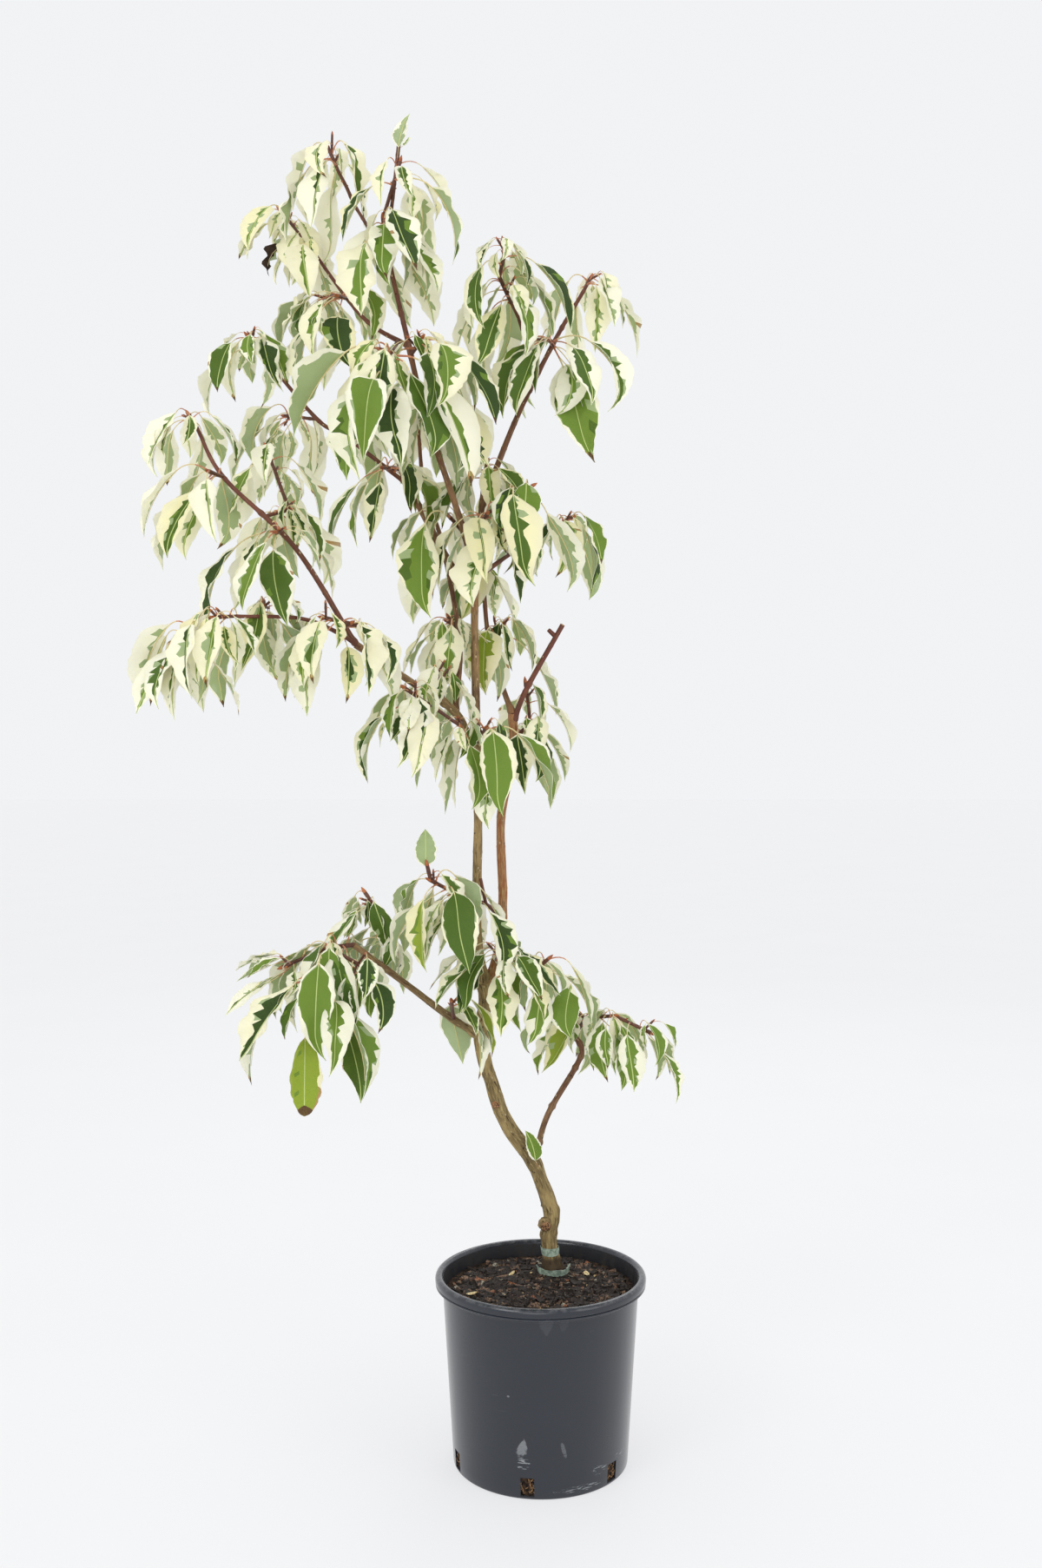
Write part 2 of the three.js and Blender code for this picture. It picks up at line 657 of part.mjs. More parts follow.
// The soil fills the pot to a little under the rim, level at the trunk's foot.
function soilSolid() {
  const { baseRadius, neckRadius, innerHeight, wall, floor } = POT;
  const inner = (z) => mix(baseRadius, neckRadius, (z - floor) / (innerHeight - floor)) - wall - 2 * GAP;
  return turned([
    [0, floor + GAP],
    [inner(floor), floor + GAP],
    [inner(SOIL.top - SOIL.edgeDrop), SOIL.top - SOIL.edgeDrop],
    [inner(SOIL.top) - SOIL.edge, SOIL.top],
    [0, SOIL.top],
  ], POT.segments);
}

// The tight band: a short tube round the trunk, with the trunk and a gap cut out of it.
function tapeSolid() {
  const trunk = lines.trunk;
  const [foot, above] = [trunk.point(0), trunk.point(1)];
  const place = (z) => foot.clone().lerp(above, (z - foot.z) / (above.z - foot.z));
  const line = new Line([place(TAPE.low), place(TAPE.high)]);
  const radius = limbRadius("trunk", 0.5) + GAP + TAPE.thick;
  return largest(tube(line, () => radius, LIMBS.trunk.sides, 1).subtract(limbHulls.trunk));
}

// The loose loop: a low ring, open at the top, that lies on the soil.
function loopSolid() {
  const { thick, loopRadius, loopFlare, loopHeight, loopForward } = TAPE;
  const ring = turned([
    [loopRadius, 0],
    [loopRadius + loopFlare, loopHeight],
    [loopRadius + loopFlare - thick, loopHeight],
    [loopRadius - thick, 0],
    [loopRadius, 0],
  ], TAPE.segments);
  const foot = lines.trunk.point(0);
  return ring.translate([foot.x, foot.y - loopForward, SOIL.top + GAP]);
}

function finish(colour, roughness) {
  return new THREE.MeshStandardMaterial({ color: colour, roughness, metalness: 0 });
}
const FINISH = {
  pot: finish("#2b2e35", 0.42),
  soil: finish("#2e211a", 0.95),
  tape: finish("#7f9a8b", 0.5),
  bark: finish("#6d6444", 0.8),
  redBark: finish("#6b3a31", 0.7),
  foliage: finish("#8da56f", 0.6),
};
const RED_LIMBS = ["right_stem", "back_stem", "cut_branch", "leader", "upper_left_bough", "right_bough",
  "left_bough", "left_straight", "low_left_bough", "inner_stem", "outer_left_bough", "lowest_left_bough",
  "bottom_left_bough", "bottom_right_bough"];

const plant = new THREE.Group();
function place(name, solid, material) {
  const mesh = new THREE.Mesh(geometryOf(solid), material);
  mesh.name = name;
  plant.add(mesh);
}
place("pot", potSolid(), FINISH.pot);
place("soil", soilSolid(), FINISH.soil);
place("tape_band", tapeSolid(), FINISH.tape);
place("tape_loop", loopSolid(), FINISH.tape);
for (const [name, solid] of Object.entries(limbSolids)) {
  place(name, solid, RED_LIMBS.includes(name) ? FINISH.redBark : FINISH.bark);
}
for (const { mass, solid } of crown) place(mass, solid, FINISH.foliage);

export default plant;
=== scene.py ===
"""A variegated giant dogwood in a black nursery pot, dressed over its CAD frame.

The tables and the growth rule are the part's own, in millimetres. They become metres where a
mesh is made. -Y is the front, and the origin is the middle of the pot's flat underside.
Every draw by chance comes from chance(), whose last number is a channel of its own.
"""

import math
from functools import partial
from types import SimpleNamespace

import bpy
import numpy as np
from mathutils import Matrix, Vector, noise


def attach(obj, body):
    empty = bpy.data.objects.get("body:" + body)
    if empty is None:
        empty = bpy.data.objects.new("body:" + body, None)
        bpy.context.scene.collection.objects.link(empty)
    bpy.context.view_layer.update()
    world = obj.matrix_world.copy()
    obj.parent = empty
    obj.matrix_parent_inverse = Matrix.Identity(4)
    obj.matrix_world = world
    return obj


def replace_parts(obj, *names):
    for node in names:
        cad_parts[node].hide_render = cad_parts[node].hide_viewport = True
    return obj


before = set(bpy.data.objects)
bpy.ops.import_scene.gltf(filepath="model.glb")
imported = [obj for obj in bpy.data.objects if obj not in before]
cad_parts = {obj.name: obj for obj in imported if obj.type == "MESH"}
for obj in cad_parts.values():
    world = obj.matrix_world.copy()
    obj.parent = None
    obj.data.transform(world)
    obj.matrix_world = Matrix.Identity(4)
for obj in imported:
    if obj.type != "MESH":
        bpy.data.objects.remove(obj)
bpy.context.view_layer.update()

METRE = 1000  # mm
MM = 1 / METRE
UP = np.array([0.0, 0.0, 1.0])

# The camera that took the photograph, as fitted to it. It is level. Lengths are in pixels, but the
# film's is in mm, and the eye is in metres.
PHOTO = SimpleNamespace(height=1805, focal=1700, horizon_above_middle=26.5, film=36)
EYE = (-0.0235, -1.776, 0.837)

# The pot: radii and heights of its wall, base and rolled rim.
POT = SimpleNamespace(
    height=223, base_radius=104.5, neck_radius=117.5, neck_height=209, rim_radius=126.5,
    wall=2.4, floor=2.4, corner=2.5,
)
# Drainage slots through the foot of the wall. The first one's angle is measured from +X.
SLOT = SimpleNamespace(count=6, width=16, low=3.4, high=25, first_angle=-99)
SOIL_TOP = 205

# The grafting tape: a tight band on the trunk and a loose loop round its foot.
TAPE = SimpleNamespace(low=222, high=234, loop_radius=20, loop_flare=3, loop_height=9)

# The limbs: the limb that each grows from, the place on it, where 2.5 is half way from its place 2 to
# its place 3, the radii that the limb tapers between, and the places that it runs through.
LIMBS = {
    "trunk": (None, 0, (11, 7.4), [
        (15, 60, 205.3), (11, 58, 248), (14, 57, 277), (-4, 51, 335), (-38, 42, 386), (-56, 35, 430),
        (-72, 26, 495), (-66, 20, 548), (-69, 18, 567),
    ]),
    "left_stem": ("trunk", 8, (6.3, 3.8), [
        (-77, 12, 637), (-75, 2, 777), (-78, -8, 937), (-78, -10, 1050), (-67, -6, 1170),
    ]),
    "right_stem": ("trunk", 7.6, (6, 5), [
        (-51, 35, 603), (-46, 44, 668), (-48, 48, 768), (-33, 50, 840), (-34, 50, 895),
    ]),
    "back_stem": ("right_stem", 5, (3.8, 2.6), [(-46, 57, 928), (-64, 65, 990), (-71, 76, 1067)]),
    "cut_branch": ("right_stem", 4.8, (3.6, 3), [(-17, 40, 925), (27, 12, 1002)]),
    "left_bough": ("left_stem", 3.9, (5, 3), [
        (-106, 6, 1070), (-150, 50, 1153), (-174, 75, 1203), (-194, 110, 1287),
    ]),
    "left_straight": ("left_bough", 2.6, (2.8, 2.2), [
        (-240, 45, 1237), (-273, 30, 1255), (-334, -18, 1324),
    ]),
    "leader": ("left_stem", 4.1, (4.2, 2.6), [
        (-98, -36, 1130), (-134, -70, 1237), (-156, -86, 1330), (-177, -90, 1418),
    ]),
    "upper_left_bough": ("leader", 2.8, (2.8, 2), [
        (-195, -60, 1342), (-224, -42, 1375), (-271, -8, 1445),
    ]),
    "right_bough": ("left_stem", 4.8, (3.8, 2.2), [(-27, 10, 1256), (19, 30, 1353), (54, 45, 1417)]),
    "low_left_bough": ("left_stem", 2.4, (4.6, 3.6), [
        (-101, -38, 894), (-150, -63, 928), (-211, -98, 969),
    ]),
    "inner_stem": ("low_left_bough", 1, (3.6, 2.2), [
        (-98, 5, 985), (-123, 60, 1113), (-146, 88, 1180), (-156, 100, 1294),
    ]),
    "outer_left_bough": ("low_left_bough", 3, (3.3, 2), [
        (-278, -112, 1077), (-360, -108, 1158), (-393, -100, 1218),
    ]),
    "lowest_left_bough": ("low_left_bough", 2.9, (2.6, 1.9), [
        (-231, -118, 982), (-267, -150, 994), (-329, -195, 992),
    ]),
    "bottom_left_bough": ("trunk", 6.1, (4.8, 3.4), [
        (-109, 10, 527), (-154, -15, 566), (-219, -50, 622),
    ]),
    "bottom_right_bough": ("trunk", 3.1, (3.2, 2.6), [
        (9, 61, 395), (46, 80, 454), (53, 84, 474), (44, 86, 491),
    ]),
}
TRUNK_FLARE = 4  # how much the trunk widens at its foot
# The pruned knob and the old node on the trunk: centre, radius, how much is bare wood, how rusty.
KNOBS = [((6.5, 50, 264.5), 8.4, 0.25, 0.25), ((-54, 30.5, 417), 5.2, 0.3, 0.9)]
# Swellings and hollows of the trunk: height, direction round it, in degrees to the right of the
# front, how far it stands out, and how far it spreads along and round, in mm and degrees.
TRUNK_FORM = [
    (322, 90, -3, 26, 75), (279, 88, 2, 5, 45), (252, 95, 0.9, 3.5, 60), (260, 90, -0.7, 3, 50),
    (249, -85, 1.2, 4, 50), (257, -80, -0.9, 3, 50), (289, -80, 2, 1.6, 16), (246, 8, -1.5, 9, 13),
    (446, -70, -1.2, 10, 50), (400, -60, -0.8, 12, 50), (234, 0, -1.1, 12, 400),
]
# How much stouter a limb is than its radii say.
STOUT = {"bottom_right_bough": 1.2}
# The places along a limb where it is swollen into a knuckle.
KNUCKLES = {
    "bottom_right_bough": (0.45, 1.2, 1.95, 2.4, 3.4), "cut_branch": (1.1,), "outer_left_bough": (1.45,),
    "leader": (1.9, 3.2), "right_bough": (1.3, 2.2), "low_left_bough": (1.3, 2.4),
}

# How old and how rusty each limb's bark is, from 0, young and red-brown, to 1.
BARK = {
    "trunk": ((1, 1), (0, 0.1)), "left_stem": ((1, 0.35), (0.05, 0.3)),
    "right_stem": ((0.75, 0.5), (0.85, 0.7)), "back_stem": ((0.4, 0.1), (0.3, 0.1)),
    "cut_branch": ((0.05, 0), (0, 0)), "left_bough": ((0.5, 0.05), (0.1, 0)),
    "leader": ((0.5, 0), (0.3, 0)), "right_bough": ((0.3, 0), (0.1, 0)),
    "low_left_bough": ((0.9, 0.35), (0, 0.1)), "inner_stem": ((0.4, 0.1), (0.1, 0)),
    "bottom_left_bough": ((0.9, 0.5), (0.1, 0)), "bottom_right_bough": ((0.55, 0.15), (0.3, 0.1)),
}
YOUNG_BARK = ((0.1, 0), (0, 0))

# The masses of foliage. Each grows from a place on its limb by twigs that run from knot to knot.
# A knot is its place, its leaves and their length, then the knot that its twig leaves from, where
# that isn't the one before, and how far its leaves droop, where that isn't straight down.
MASSES = {
    "leader_top": ("leader", 4, [
        (-181, -92, 1455, 9, 95), (-162, -88, 1522, 5, 92), (-163, -86, 1546, 2, 34, -1, -0.6),
    ]),
    "top_left": ("leader", 3.8, [
        (-194, -80, 1440, 0, 0), (-218, -60, 1485, 0, 0), (-250, -45, 1556, 7, 90),
    ]),
    "upper_left_tip": ("upper_left_bough", 3, [(-282, -2, 1461, 4, 80), (-316, 12, 1505, 5, 80)]),
    "upper_left_mid": ("upper_left_bough", 2.1, [(-236, -66, 1376, 8, 88), (-262, 5, 1395, 6, 80)]),
    "front_whorl": ("upper_left_bough", 0.3, [(-170, -150, 1275, 10, 115)]),
    "leader_right": ("leader", 2.7, [(-134, -120, 1312, 8, 100)]),
    "left_straight_tip": ("left_straight", 3, [(-346, -32, 1338, 6, 80)]),
    "left_stub": ("left_straight", 2, [(-317, 60, 1266, 9, 85)]),
    "inner_twig": ("outer_left_bough", 1.4, [(-289, -85, 1125, 5, 85), (-320, -60, 1201, 6, 80)]),
    "outer_left_tip": ("outer_left_bough", 3, [(-401, -98, 1230, 6, 75)]),
    "outer_left_mid": ("outer_left_bough", 2, [(-370, -140, 1158, 8, 88)]),
    "outer_left_inner": ("outer_left_bough", 1.2, [(-294, -150, 1089, 5, 90)]),
    "lowest_left_tip": ("lowest_left_bough", 3, [(-350, -202, 990, 7, 85), (-384, -212, 970, 9, 90)]),
    "lowest_left_inner": ("lowest_left_bough", 2.6, [(-307, -150, 1012, 4, 90)]),
    "lower_drop": ("lowest_left_bough", 1, [(-213, -135, 990, 4, 75), (-240, -158, 994, 9, 88)]),
    "low_red_twig": ("low_left_bough", 0.8, [(-94, -68, 878, 4, 75), (-156, -95, 920, 7, 82)]),
    "low_knot": ("low_left_bough", 1.3, [(-125, -25, 945, 5, 80)]),
    "left_bough_front": ("left_bough", 3, [(-192, 15, 1193, 9, 85)]),
    "behind_leader": ("leader", 0.7, [(-118, 0, 1140, 4, 110)]),
    "stem_top": ("left_stem", 5, [(-66, -6, 1190, 9, 90)]),
    "inner_stem_top": ("inner_stem", 4, [(-156, 101, 1314, 7, 90)]),
    "left_bough_top": ("left_bough", 4, [(-202, 118, 1308, 8, 90)]),
    "leader_mid": ("leader", 2, [(-97, -40, 1258, 9, 90)]),
    "stem_front": ("left_stem", 4.6, [(-62, -60, 1125, 8, 95), (-11, -50, 1158, 3, 105)]),
    "right_low_twig": ("left_stem", 4.05, [
        (-27, 40, 1098, 0, 0), (9, 60, 1124, 2, 70), (41, 70, 1142, 7, 80),
    ]),
    "right_fork": ("right_bough", 1.5, [
        (-27, -30, 1362, 0, 0), (-49, -60, 1400, 8, 90), (-40, -72, 1431, 3, 80),
    ]),
    "right_bough_mid": ("right_bough", 1.9, [(10, -15, 1340, 10, 112)]),
    "right_bough_tip": ("right_bough", 3, [(62, 48, 1433, 6, 85)]),
    "back_stem_top": ("back_stem", 3, [(-74, 80, 1084, 6, 80)]),
    "inner_stem_mid": ("inner_stem", 1, [(-112, 25, 1012, 6, 80)]),
    "back_stem_right": ("back_stem", 2, [(-46, 84, 1008, 4, 95)]),
    "right_stem_top": ("right_stem", 4.4, [(-12, 66, 885, 9, 76), (-18, 70, 935, 3, 75)]),
    "stem_low_front": ("left_stem", 2.5, [(-64, -48, 876, 5, 100)]),
    "mid_left_twig": ("right_stem", 1.7, [
        (-66, 5, 665, 0, 0), (-72, -6, 696, 0, 0), (-98, -20, 678, 6, 90, 0),
        (-130, -34, 696, 7, 98), (-134, -38, 714, 1, 58, 3, -1),
    ]),
    "front_low": ("right_stem", 0.8, [(-49, -40, 612, 10, 85, -1, 0.6)]),
    "right_low": ("trunk", 7.1, [(-34, -6, 562, 0, 0), (9, -15, 601, 8, 88)]),
    "bottom_right_tip": ("bottom_right_bough", 4, [
        (58, 80, 514, 4, 75), (92, 50, 522, 6, 75), (136, 32, 504, 5, 65),
        (30, 96, 526, 3, 70, 0),
    ]),
    "bottom_left_under": ("bottom_left_bough", 0.9, [(-106, -28, 553, 6, 80)]),
    "bottom_left_up": ("bottom_left_bough", 2.5, [(-184, -12, 642, 6, 85), (-210, -12, 680, 4, 70)]),
    "bottom_left_tip": ("bottom_left_bough", 3, [
        (-245, -72, 622, 9, 90), (-300, -62, 598, 3, 70, 0, 0.35), (-254, -112, 582, 7, 104, 0),
        (-205, -98, 604, 4, 85, 0),
    ]),
}
# The leaf. Ranges are (least, most), and angles are in degrees.
LEAF = SimpleNamespace(
    upward=0.6,  # how far a whorl's axis leans up from its shoot
    turn=137.5,  # round the shoot from one leaf to the next
    turn_play=(24, 10),  # how much that varies, and how much more at each further try
    crowd=32,  # length of shoot that a knot's leaves share
    stalk=(0.3, 0.56),  # stalk's length, as a share of the blade's
    half_width=(0.19, 0.235),  # likewise the blade's half width
    size=(0.8, 1.12),
    spread=(84, 38),  # between shoot and stalk, lowest leaf and highest
    spread_play=20,
    smallest=0.82,  # size of a knot's last leaf to that of its first
    elbow=0.55,  # where along it the stalk bends over
    base_drop=(34, 72),  # how far the blade points below level where it starts
    tip_drop=(78, 110),  # and at its tip
    roll=26,
    twist=24,
    fold=(14, 40),  # how far each half is folded up from the midrib
)
TRIES = 8  # poses tried for a leaf, the clearest one kept
MORE_TRIES = 10  # and how many more if none of those has room
SIGHT_STEPS = 24
SIGHT_GAPS = (12, 26, 44, 66)  # mm in front of a limb that shows, where leaves keep out
# Stretches of limb that no leaf hides from the front, between two places along them.
SHOWN = {
    "leader": (0.4, 3.1), "right_bough": (0.5, 2.5), "outer_left_bough": (0.2, 2.6),
    "left_straight": (0.1, 0.9), "upper_left_bough": (1.6, 2.8), "bottom_right_bough": (0.5, 3.2),
    "bottom_left_bough": (0.3, 2.9),
}
LEAST_ROOM = 0.45  # a leaf whose best pose has less is skipped
LEAF_ROOM = 15  # mm between leaves that counts as full room
SIGHT_ROOM = 24  # likewise between a leaf and the view of a limb that shows
BARK_ROOM = 7  # likewise between a leaf and bark
# A twig's radius at its tip, how it grows with its reach, the most it is as a share of its limb's, and
# how much more it may be than the tip that it grows from.
TWIG = SimpleNamespace(
    tip=1.9, taper=0.009, most=0.88, step=0.3, bud=8,
    ring=3, scar_gap=17, spur_gap=30,  # mm from one to the next along it
    spur=(4, 8),  # length of its small side buds
)
BUD_FORM = [(0.25, 0.29), (0.6, 0.21), (1, 0.03)]  # how far along and how thick, to its length
SPUR_RADII = [1.3, 1.2, 1.0, 0.9, 0.2]
# The finer side shoots that leafy twigs carry. Their start and their leaves are shares of the twig's.
SPRIG = SimpleNamespace(
    start=(0.45, 0.92), reach=(8, 24), radii=(1.2, 0.9), bud=4, leaf=(0.5, 0.7), least_room=0.3,
    first_index=20,  # after those of a mass's twigs
    second=0.6,  # chance that a twig has two
    lean=(0.6, 0.9, 0.35),  # how far it points along the twig, out from it, and up
)

# Leaves with a look of their own, each found by a place near the middle of its blade, with what
# differs from the pose it grew in. The withered one is dead and short, and curls over and down. Those
# marked greener or bright are mostly green, and the silvery one shows its under side.
POSE_FIELDS = ("base", "heading", "base_drop", "tip_drop", "length", "half_width", "roll", "fold")
ANGLES = ("base_drop", "tip_drop", "roll", "fold")


def posed(*values):
    return dict(zip(POSE_FIELDS, values))


MARKED = {
    "withered": ((-311, -20, 1418), posed((-292, -16, 1453), (-0.97, -0.25, 0), 8, -112, 63, 8.5, 62, 23)),
    "spread": ((-331, 30, 1416), posed((-326, -10, 1480), (-0.9, -0.44, 0), -30, -75, 62, 15, 30, 16)),
    "yellowed": ((-272, -139, 500), posed((-268, -104, 524), (0.1, -1, 0), -62, -92, 88, 18, 4, 8)),
    "greener_front": ((-87, -86, 646), {}),
    "greener_low": ((-248, -159, 565), {"half_width": 20}),
    "greener_left": ((-242, -105, 584), {}),
    "greener_whorl": ((-188, -224, 1204), {}),
    "greener_red": ((-77, -91, 820), {}),
    "greener_stem": ((1, -39, 831), {}),
    "bright_stem": ((-29, -86, 818), posed((-56, -74, 872), (0.12, -1, 0), -48, -96, 106, 21, 2, 14)),
    "bright_right": ((27, -79, 550), posed((36, -22, 572), (-0.2, -1, 0), -58, -98, 66, 18, -4, 10)),
    "silvery": ((-138, -38, 738), posed((-136, -36, 713), (-0.1, 1, 0), 104, 60, 45, 13, 8, 8)),
}


def mix(a, b, share):
    return a + (b - a) * share


def chance(*keys):
    """A number from 0 to 1 that depends only on the whole numbers given, by a hash of them."""
    h = 2166136261
    for key in keys:
        h = ((h ^ key) * 16777619) & 0xFFFFFFFF
        h = ((h ^ (h >> 15)) * 2246822507) & 0xFFFFFFFF
        h ^= h >> 13
    return h / 4294967296


def chances(keys, channel, count):
    """Draws for each of a count of rows."""
    return np.array([chance(*keys, channel, i) for i in range(count)])


def unit(vector):
    return vector / np.linalg.norm(vector, axis=-1, keepdims=True)


def around(axis, turn):
    """The direction straight out from an axis at a turn round it."""
    across = unit(np.cross(axis, (0.31, 0.95, 0)))
    return across * math.cos(turn) + np.cross(axis, across) * math.sin(turn)


def lengths_along(places):
    """The length of a path up to each of its places."""
    steps = np.linalg.norm(np.diff(places, axis=0), axis=1)
    return np.concatenate([[0], np.cumsum(steps)])


def smooth(value, low, high):
    """0 below low, 1 above high, and a smooth step between."""
    share = np.clip((value - low) / (high - low), 0, 1)
    return share * share * (3 - 2 * share)


def bell(offset, width):
    """1 where an offset is 0, and less on either side, by its width."""
    return np.exp(-((offset / width) ** 2))


class Line:
    """A smooth curve through places, as a limb's centre line. Place 0.5 is half way to place 1."""

    def __init__(self, places):
        self.places = np.array(places, float)
        self.spans = len(places) - 1

    def point(self, at):
        at = np.asarray(at, float)
        i = np.clip(at.astype(int), 0, self.spans - 1)
        w = (at - i)[..., None]
        p1 = self.places[i]
        p2 = self.places[i + 1]
        first = (i == 0)[..., None]
        last = (i == self.spans - 1)[..., None]
        p0 = np.where(first, 2 * p1 - p2, self.places[np.maximum(i - 1, 0)])
        p3 = np.where(last, 2 * p2 - p1, self.places[np.minimum(i + 2, self.spans)])
        t1 = (p2 - p0) / 2
        t2 = (p3 - p1) / 2
        return p1 + t1 * w + (3 * (p2 - p1) - 2 * t1 - t2) * w**2 + (2 * (p1 - p2) + t1 + t2) * w**3

    def lengths(self):
        """Places along the line, and the length of line up to each."""
        at = np.linspace(0, self.spans, 201)
        return at, lengths_along(self.point(at))


# Growth: the limbs' lines, and the masses' twigs and leaves.
LINES = {}
for name, (parent, at, _, path) in LIMBS.items():
    start = [LINES[parent].point(at)] if parent else []
    LINES[name] = Line([*start, *path])


def limb_radius(name, at):
    """A limb's radius at a place along it."""
    start, end = LIMBS[name][2]
    flare = TRUNK_FLARE if name == "trunk" else 0
    return mix(start, end, at / LINES[name].spans) + flare * np.exp(-9 * at)


def twigs_of(mass):
    """A mass's twigs, one for each knot: its line, its radii and its knot's leaves.

    An origin of -1 is the limb itself.
    """
    limb, at, knots = MASSES[mass]
    most = TWIG.most * limb_radius(limb, at)
    twigs = []
    for index, (x, y, z, leaves, length, *rest) in enumerate(knots):
        origin = rest[0] if rest else index - 1
        droop = rest[1] if len(rest) > 1 else 1
        parent = twigs[origin] if origin >= 0 else None
        foot = parent.end if parent else LINES[limb].point(at)
        end = np.array([x, y, z], float)
        reach = np.linalg.norm(end - foot)
        thick = min(TWIG.tip + TWIG.taper * reach * (1 + len(knots) - index), most)
        if parent:
            thick = min(thick, parent.radii[1] + TWIG.step)
        twigs.append(SimpleNamespace(
            index=index, line=Line([foot, end]), end=end, reach=reach, radii=(thick, TWIG.tip),
            along=unit(end - foot), leaves=leaves, length=length, droop=droop, bud=TWIG.bud, poses=[],
        ))
    return twigs


def sprigs_of(mass, twig):
    """One or two finer shoots from the side of a leafy twig."""
    sprigs = []
    ahead, outward, upward = SPRIG.lean
    for number in range(1 + (chance(mass, twig.index, 90) < SPRIG.second)):
        draw = [chance(mass, twig.index, 91 + number, channel) for channel in range(5)]
        foot = twig.line.point(mix(*SPRIG.start, draw[0]))
        out = around(twig.along, 2 * math.pi * draw[1])
        along = unit(ahead * twig.along + outward * out + upward * UP)
        reach = mix(*SPRIG.reach, draw[2])
        end = foot + along * reach
        sprigs.append(SimpleNamespace(
            index=SPRIG.first_index + 2 * twig.index + number, line=Line([foot, end]), end=end, reach=reach,
            radii=SPRIG.radii, along=along, leaves=3 + int(2 * draw[3]),
            length=twig.length * mix(*SPRIG.leaf, draw[4]), droop=twig.droop, bud=SPRIG.bud, poses=[],
        ))
    return sprigs


def leaf_pose(mass, twig, leaf, attempt):
    """One pose of a leaf: where its stalk leaves the twig, and how its blade hangs."""
    random = partial(chance, mass, twig.index, leaf, attempt)

    def between(limits, channel):
        return mix(*limits, random(channel))

    rank = (leaf + 0.5) / twig.leaves
    crowd = min(0.75, LEAF.crowd / twig.reach)
    root = twig.line.point(1 - (1 - rank) * crowd)
    axis = unit(twig.along + LEAF.upward * UP)
    phase = 360 * chance(mass, twig.index, 77)
    play, more_play = LEAF.turn_play
    turn = math.radians(phase + leaf * LEAF.turn + (random(1) - 0.5) * (play + more_play * attempt))
    spread = math.radians(mix(*LEAF.spread, rank) + LEAF.spread_play * (random(2) - 0.5))
    out = around(axis, turn)
    away = axis * math.cos(spread) + out * math.sin(spread)
    heading = away * (1, 1, 0)
    if np.linalg.norm(heading) < 0.05:
        heading = out * (1, 1, 0)
    heading = unit(heading)
    length = twig.length * between(LEAF.size, 3) * mix(1, LEAF.smallest, rank * rank)
    base_drop = -math.radians(between(LEAF.base_drop, 4) * twig.droop)
    tip_drop = -math.radians(between(LEAF.tip_drop, 5) * twig.droop)
    first = heading * math.cos(base_drop) + UP * math.sin(base_drop)
    stalk = length * between(LEAF.stalk, 6)
    bend = root + away * stalk * LEAF.elbow
    return SimpleNamespace(
        keys=(mass, twig.index, leaf), root=root, bend=bend, base=bend + first * stalk * (1 - LEAF.elbow),
        heading=heading, length=length, base_drop=base_drop, tip_drop=tip_drop,
        half_width=length * between(LEAF.half_width, 7),
        roll=math.radians(LEAF.roll * (2 * random(8) - 1)),
        twist=math.radians(LEAF.twist * (2 * random(9) - 1)),
        fold=math.radians(between(LEAF.fold, 10)),
    )


def blade_rows(pose, share):
    """The midrib's places at shares of the blade, with the directions across and out of it."""
    share = np.asarray(share, float)[..., None]
    drop = mix(pose.base_drop, pose.tip_drop, share)
    reach = pose.length / (pose.tip_drop - pose.base_drop)
    forward = reach * (np.sin(drop) - math.sin(pose.base_drop))
    upward = reach * (math.cos(pose.base_drop) - np.cos(drop))
    place = pose.base + pose.heading * forward + UP * upward
    level = np.cross(UP, pose.heading)
    out = UP * np.cos(drop) - pose.heading * np.sin(drop)
    roll = pose.roll + pose.twist * share
    side = level * np.cos(roll) + out * np.sin(roll)
    face = out * np.cos(roll) - level * np.sin(roll)
    return place, side, face


SAMPLE_SHARES = np.array([0.1, 0.35, 0.62, 0.85])
SAMPLE_WIDTHS = np.array([0.5, 1, 0.75, 0.3])[:, None]


def leaf_samples(pose):
    """Places on the leaf that its room is measured from."""
    place, side, face = blade_rows(pose, SAMPLE_SHARES)
    width = pose.half_width * SAMPLE_WIDTHS
    raised = place + face * width * math.sin(pose.fold)
    across = side * width * math.cos(pose.fold)
    tip = blade_rows(pose, 1)[0]
    return np.vstack([pose.bend, place, raised + across, raised - across, tip])


def bark_along(line, radius):
    """Centres and radii along a line, about every 10 mm, that leaves keep clear of."""
    steps = max(2, int(line.lengths()[1][-1] / 10 + 0.5))
    at = line.spans * np.arange(steps + 1) / steps
    return np.column_stack([line.point(at), np.broadcast_to(radius(at), at.shape)])


def sightlines():
    """Places between the eye and the stretches of limb that show."""
    places = []
    for name, (low, high) in SHOWN.items():
        limb = LINES[name].point(np.linspace(low, high, SIGHT_STEPS))
        towards = unit(np.array(EYE) * METRE - limb)
        places += [limb + towards * gap for gap in SIGHT_GAPS]
    return np.vstack(places)


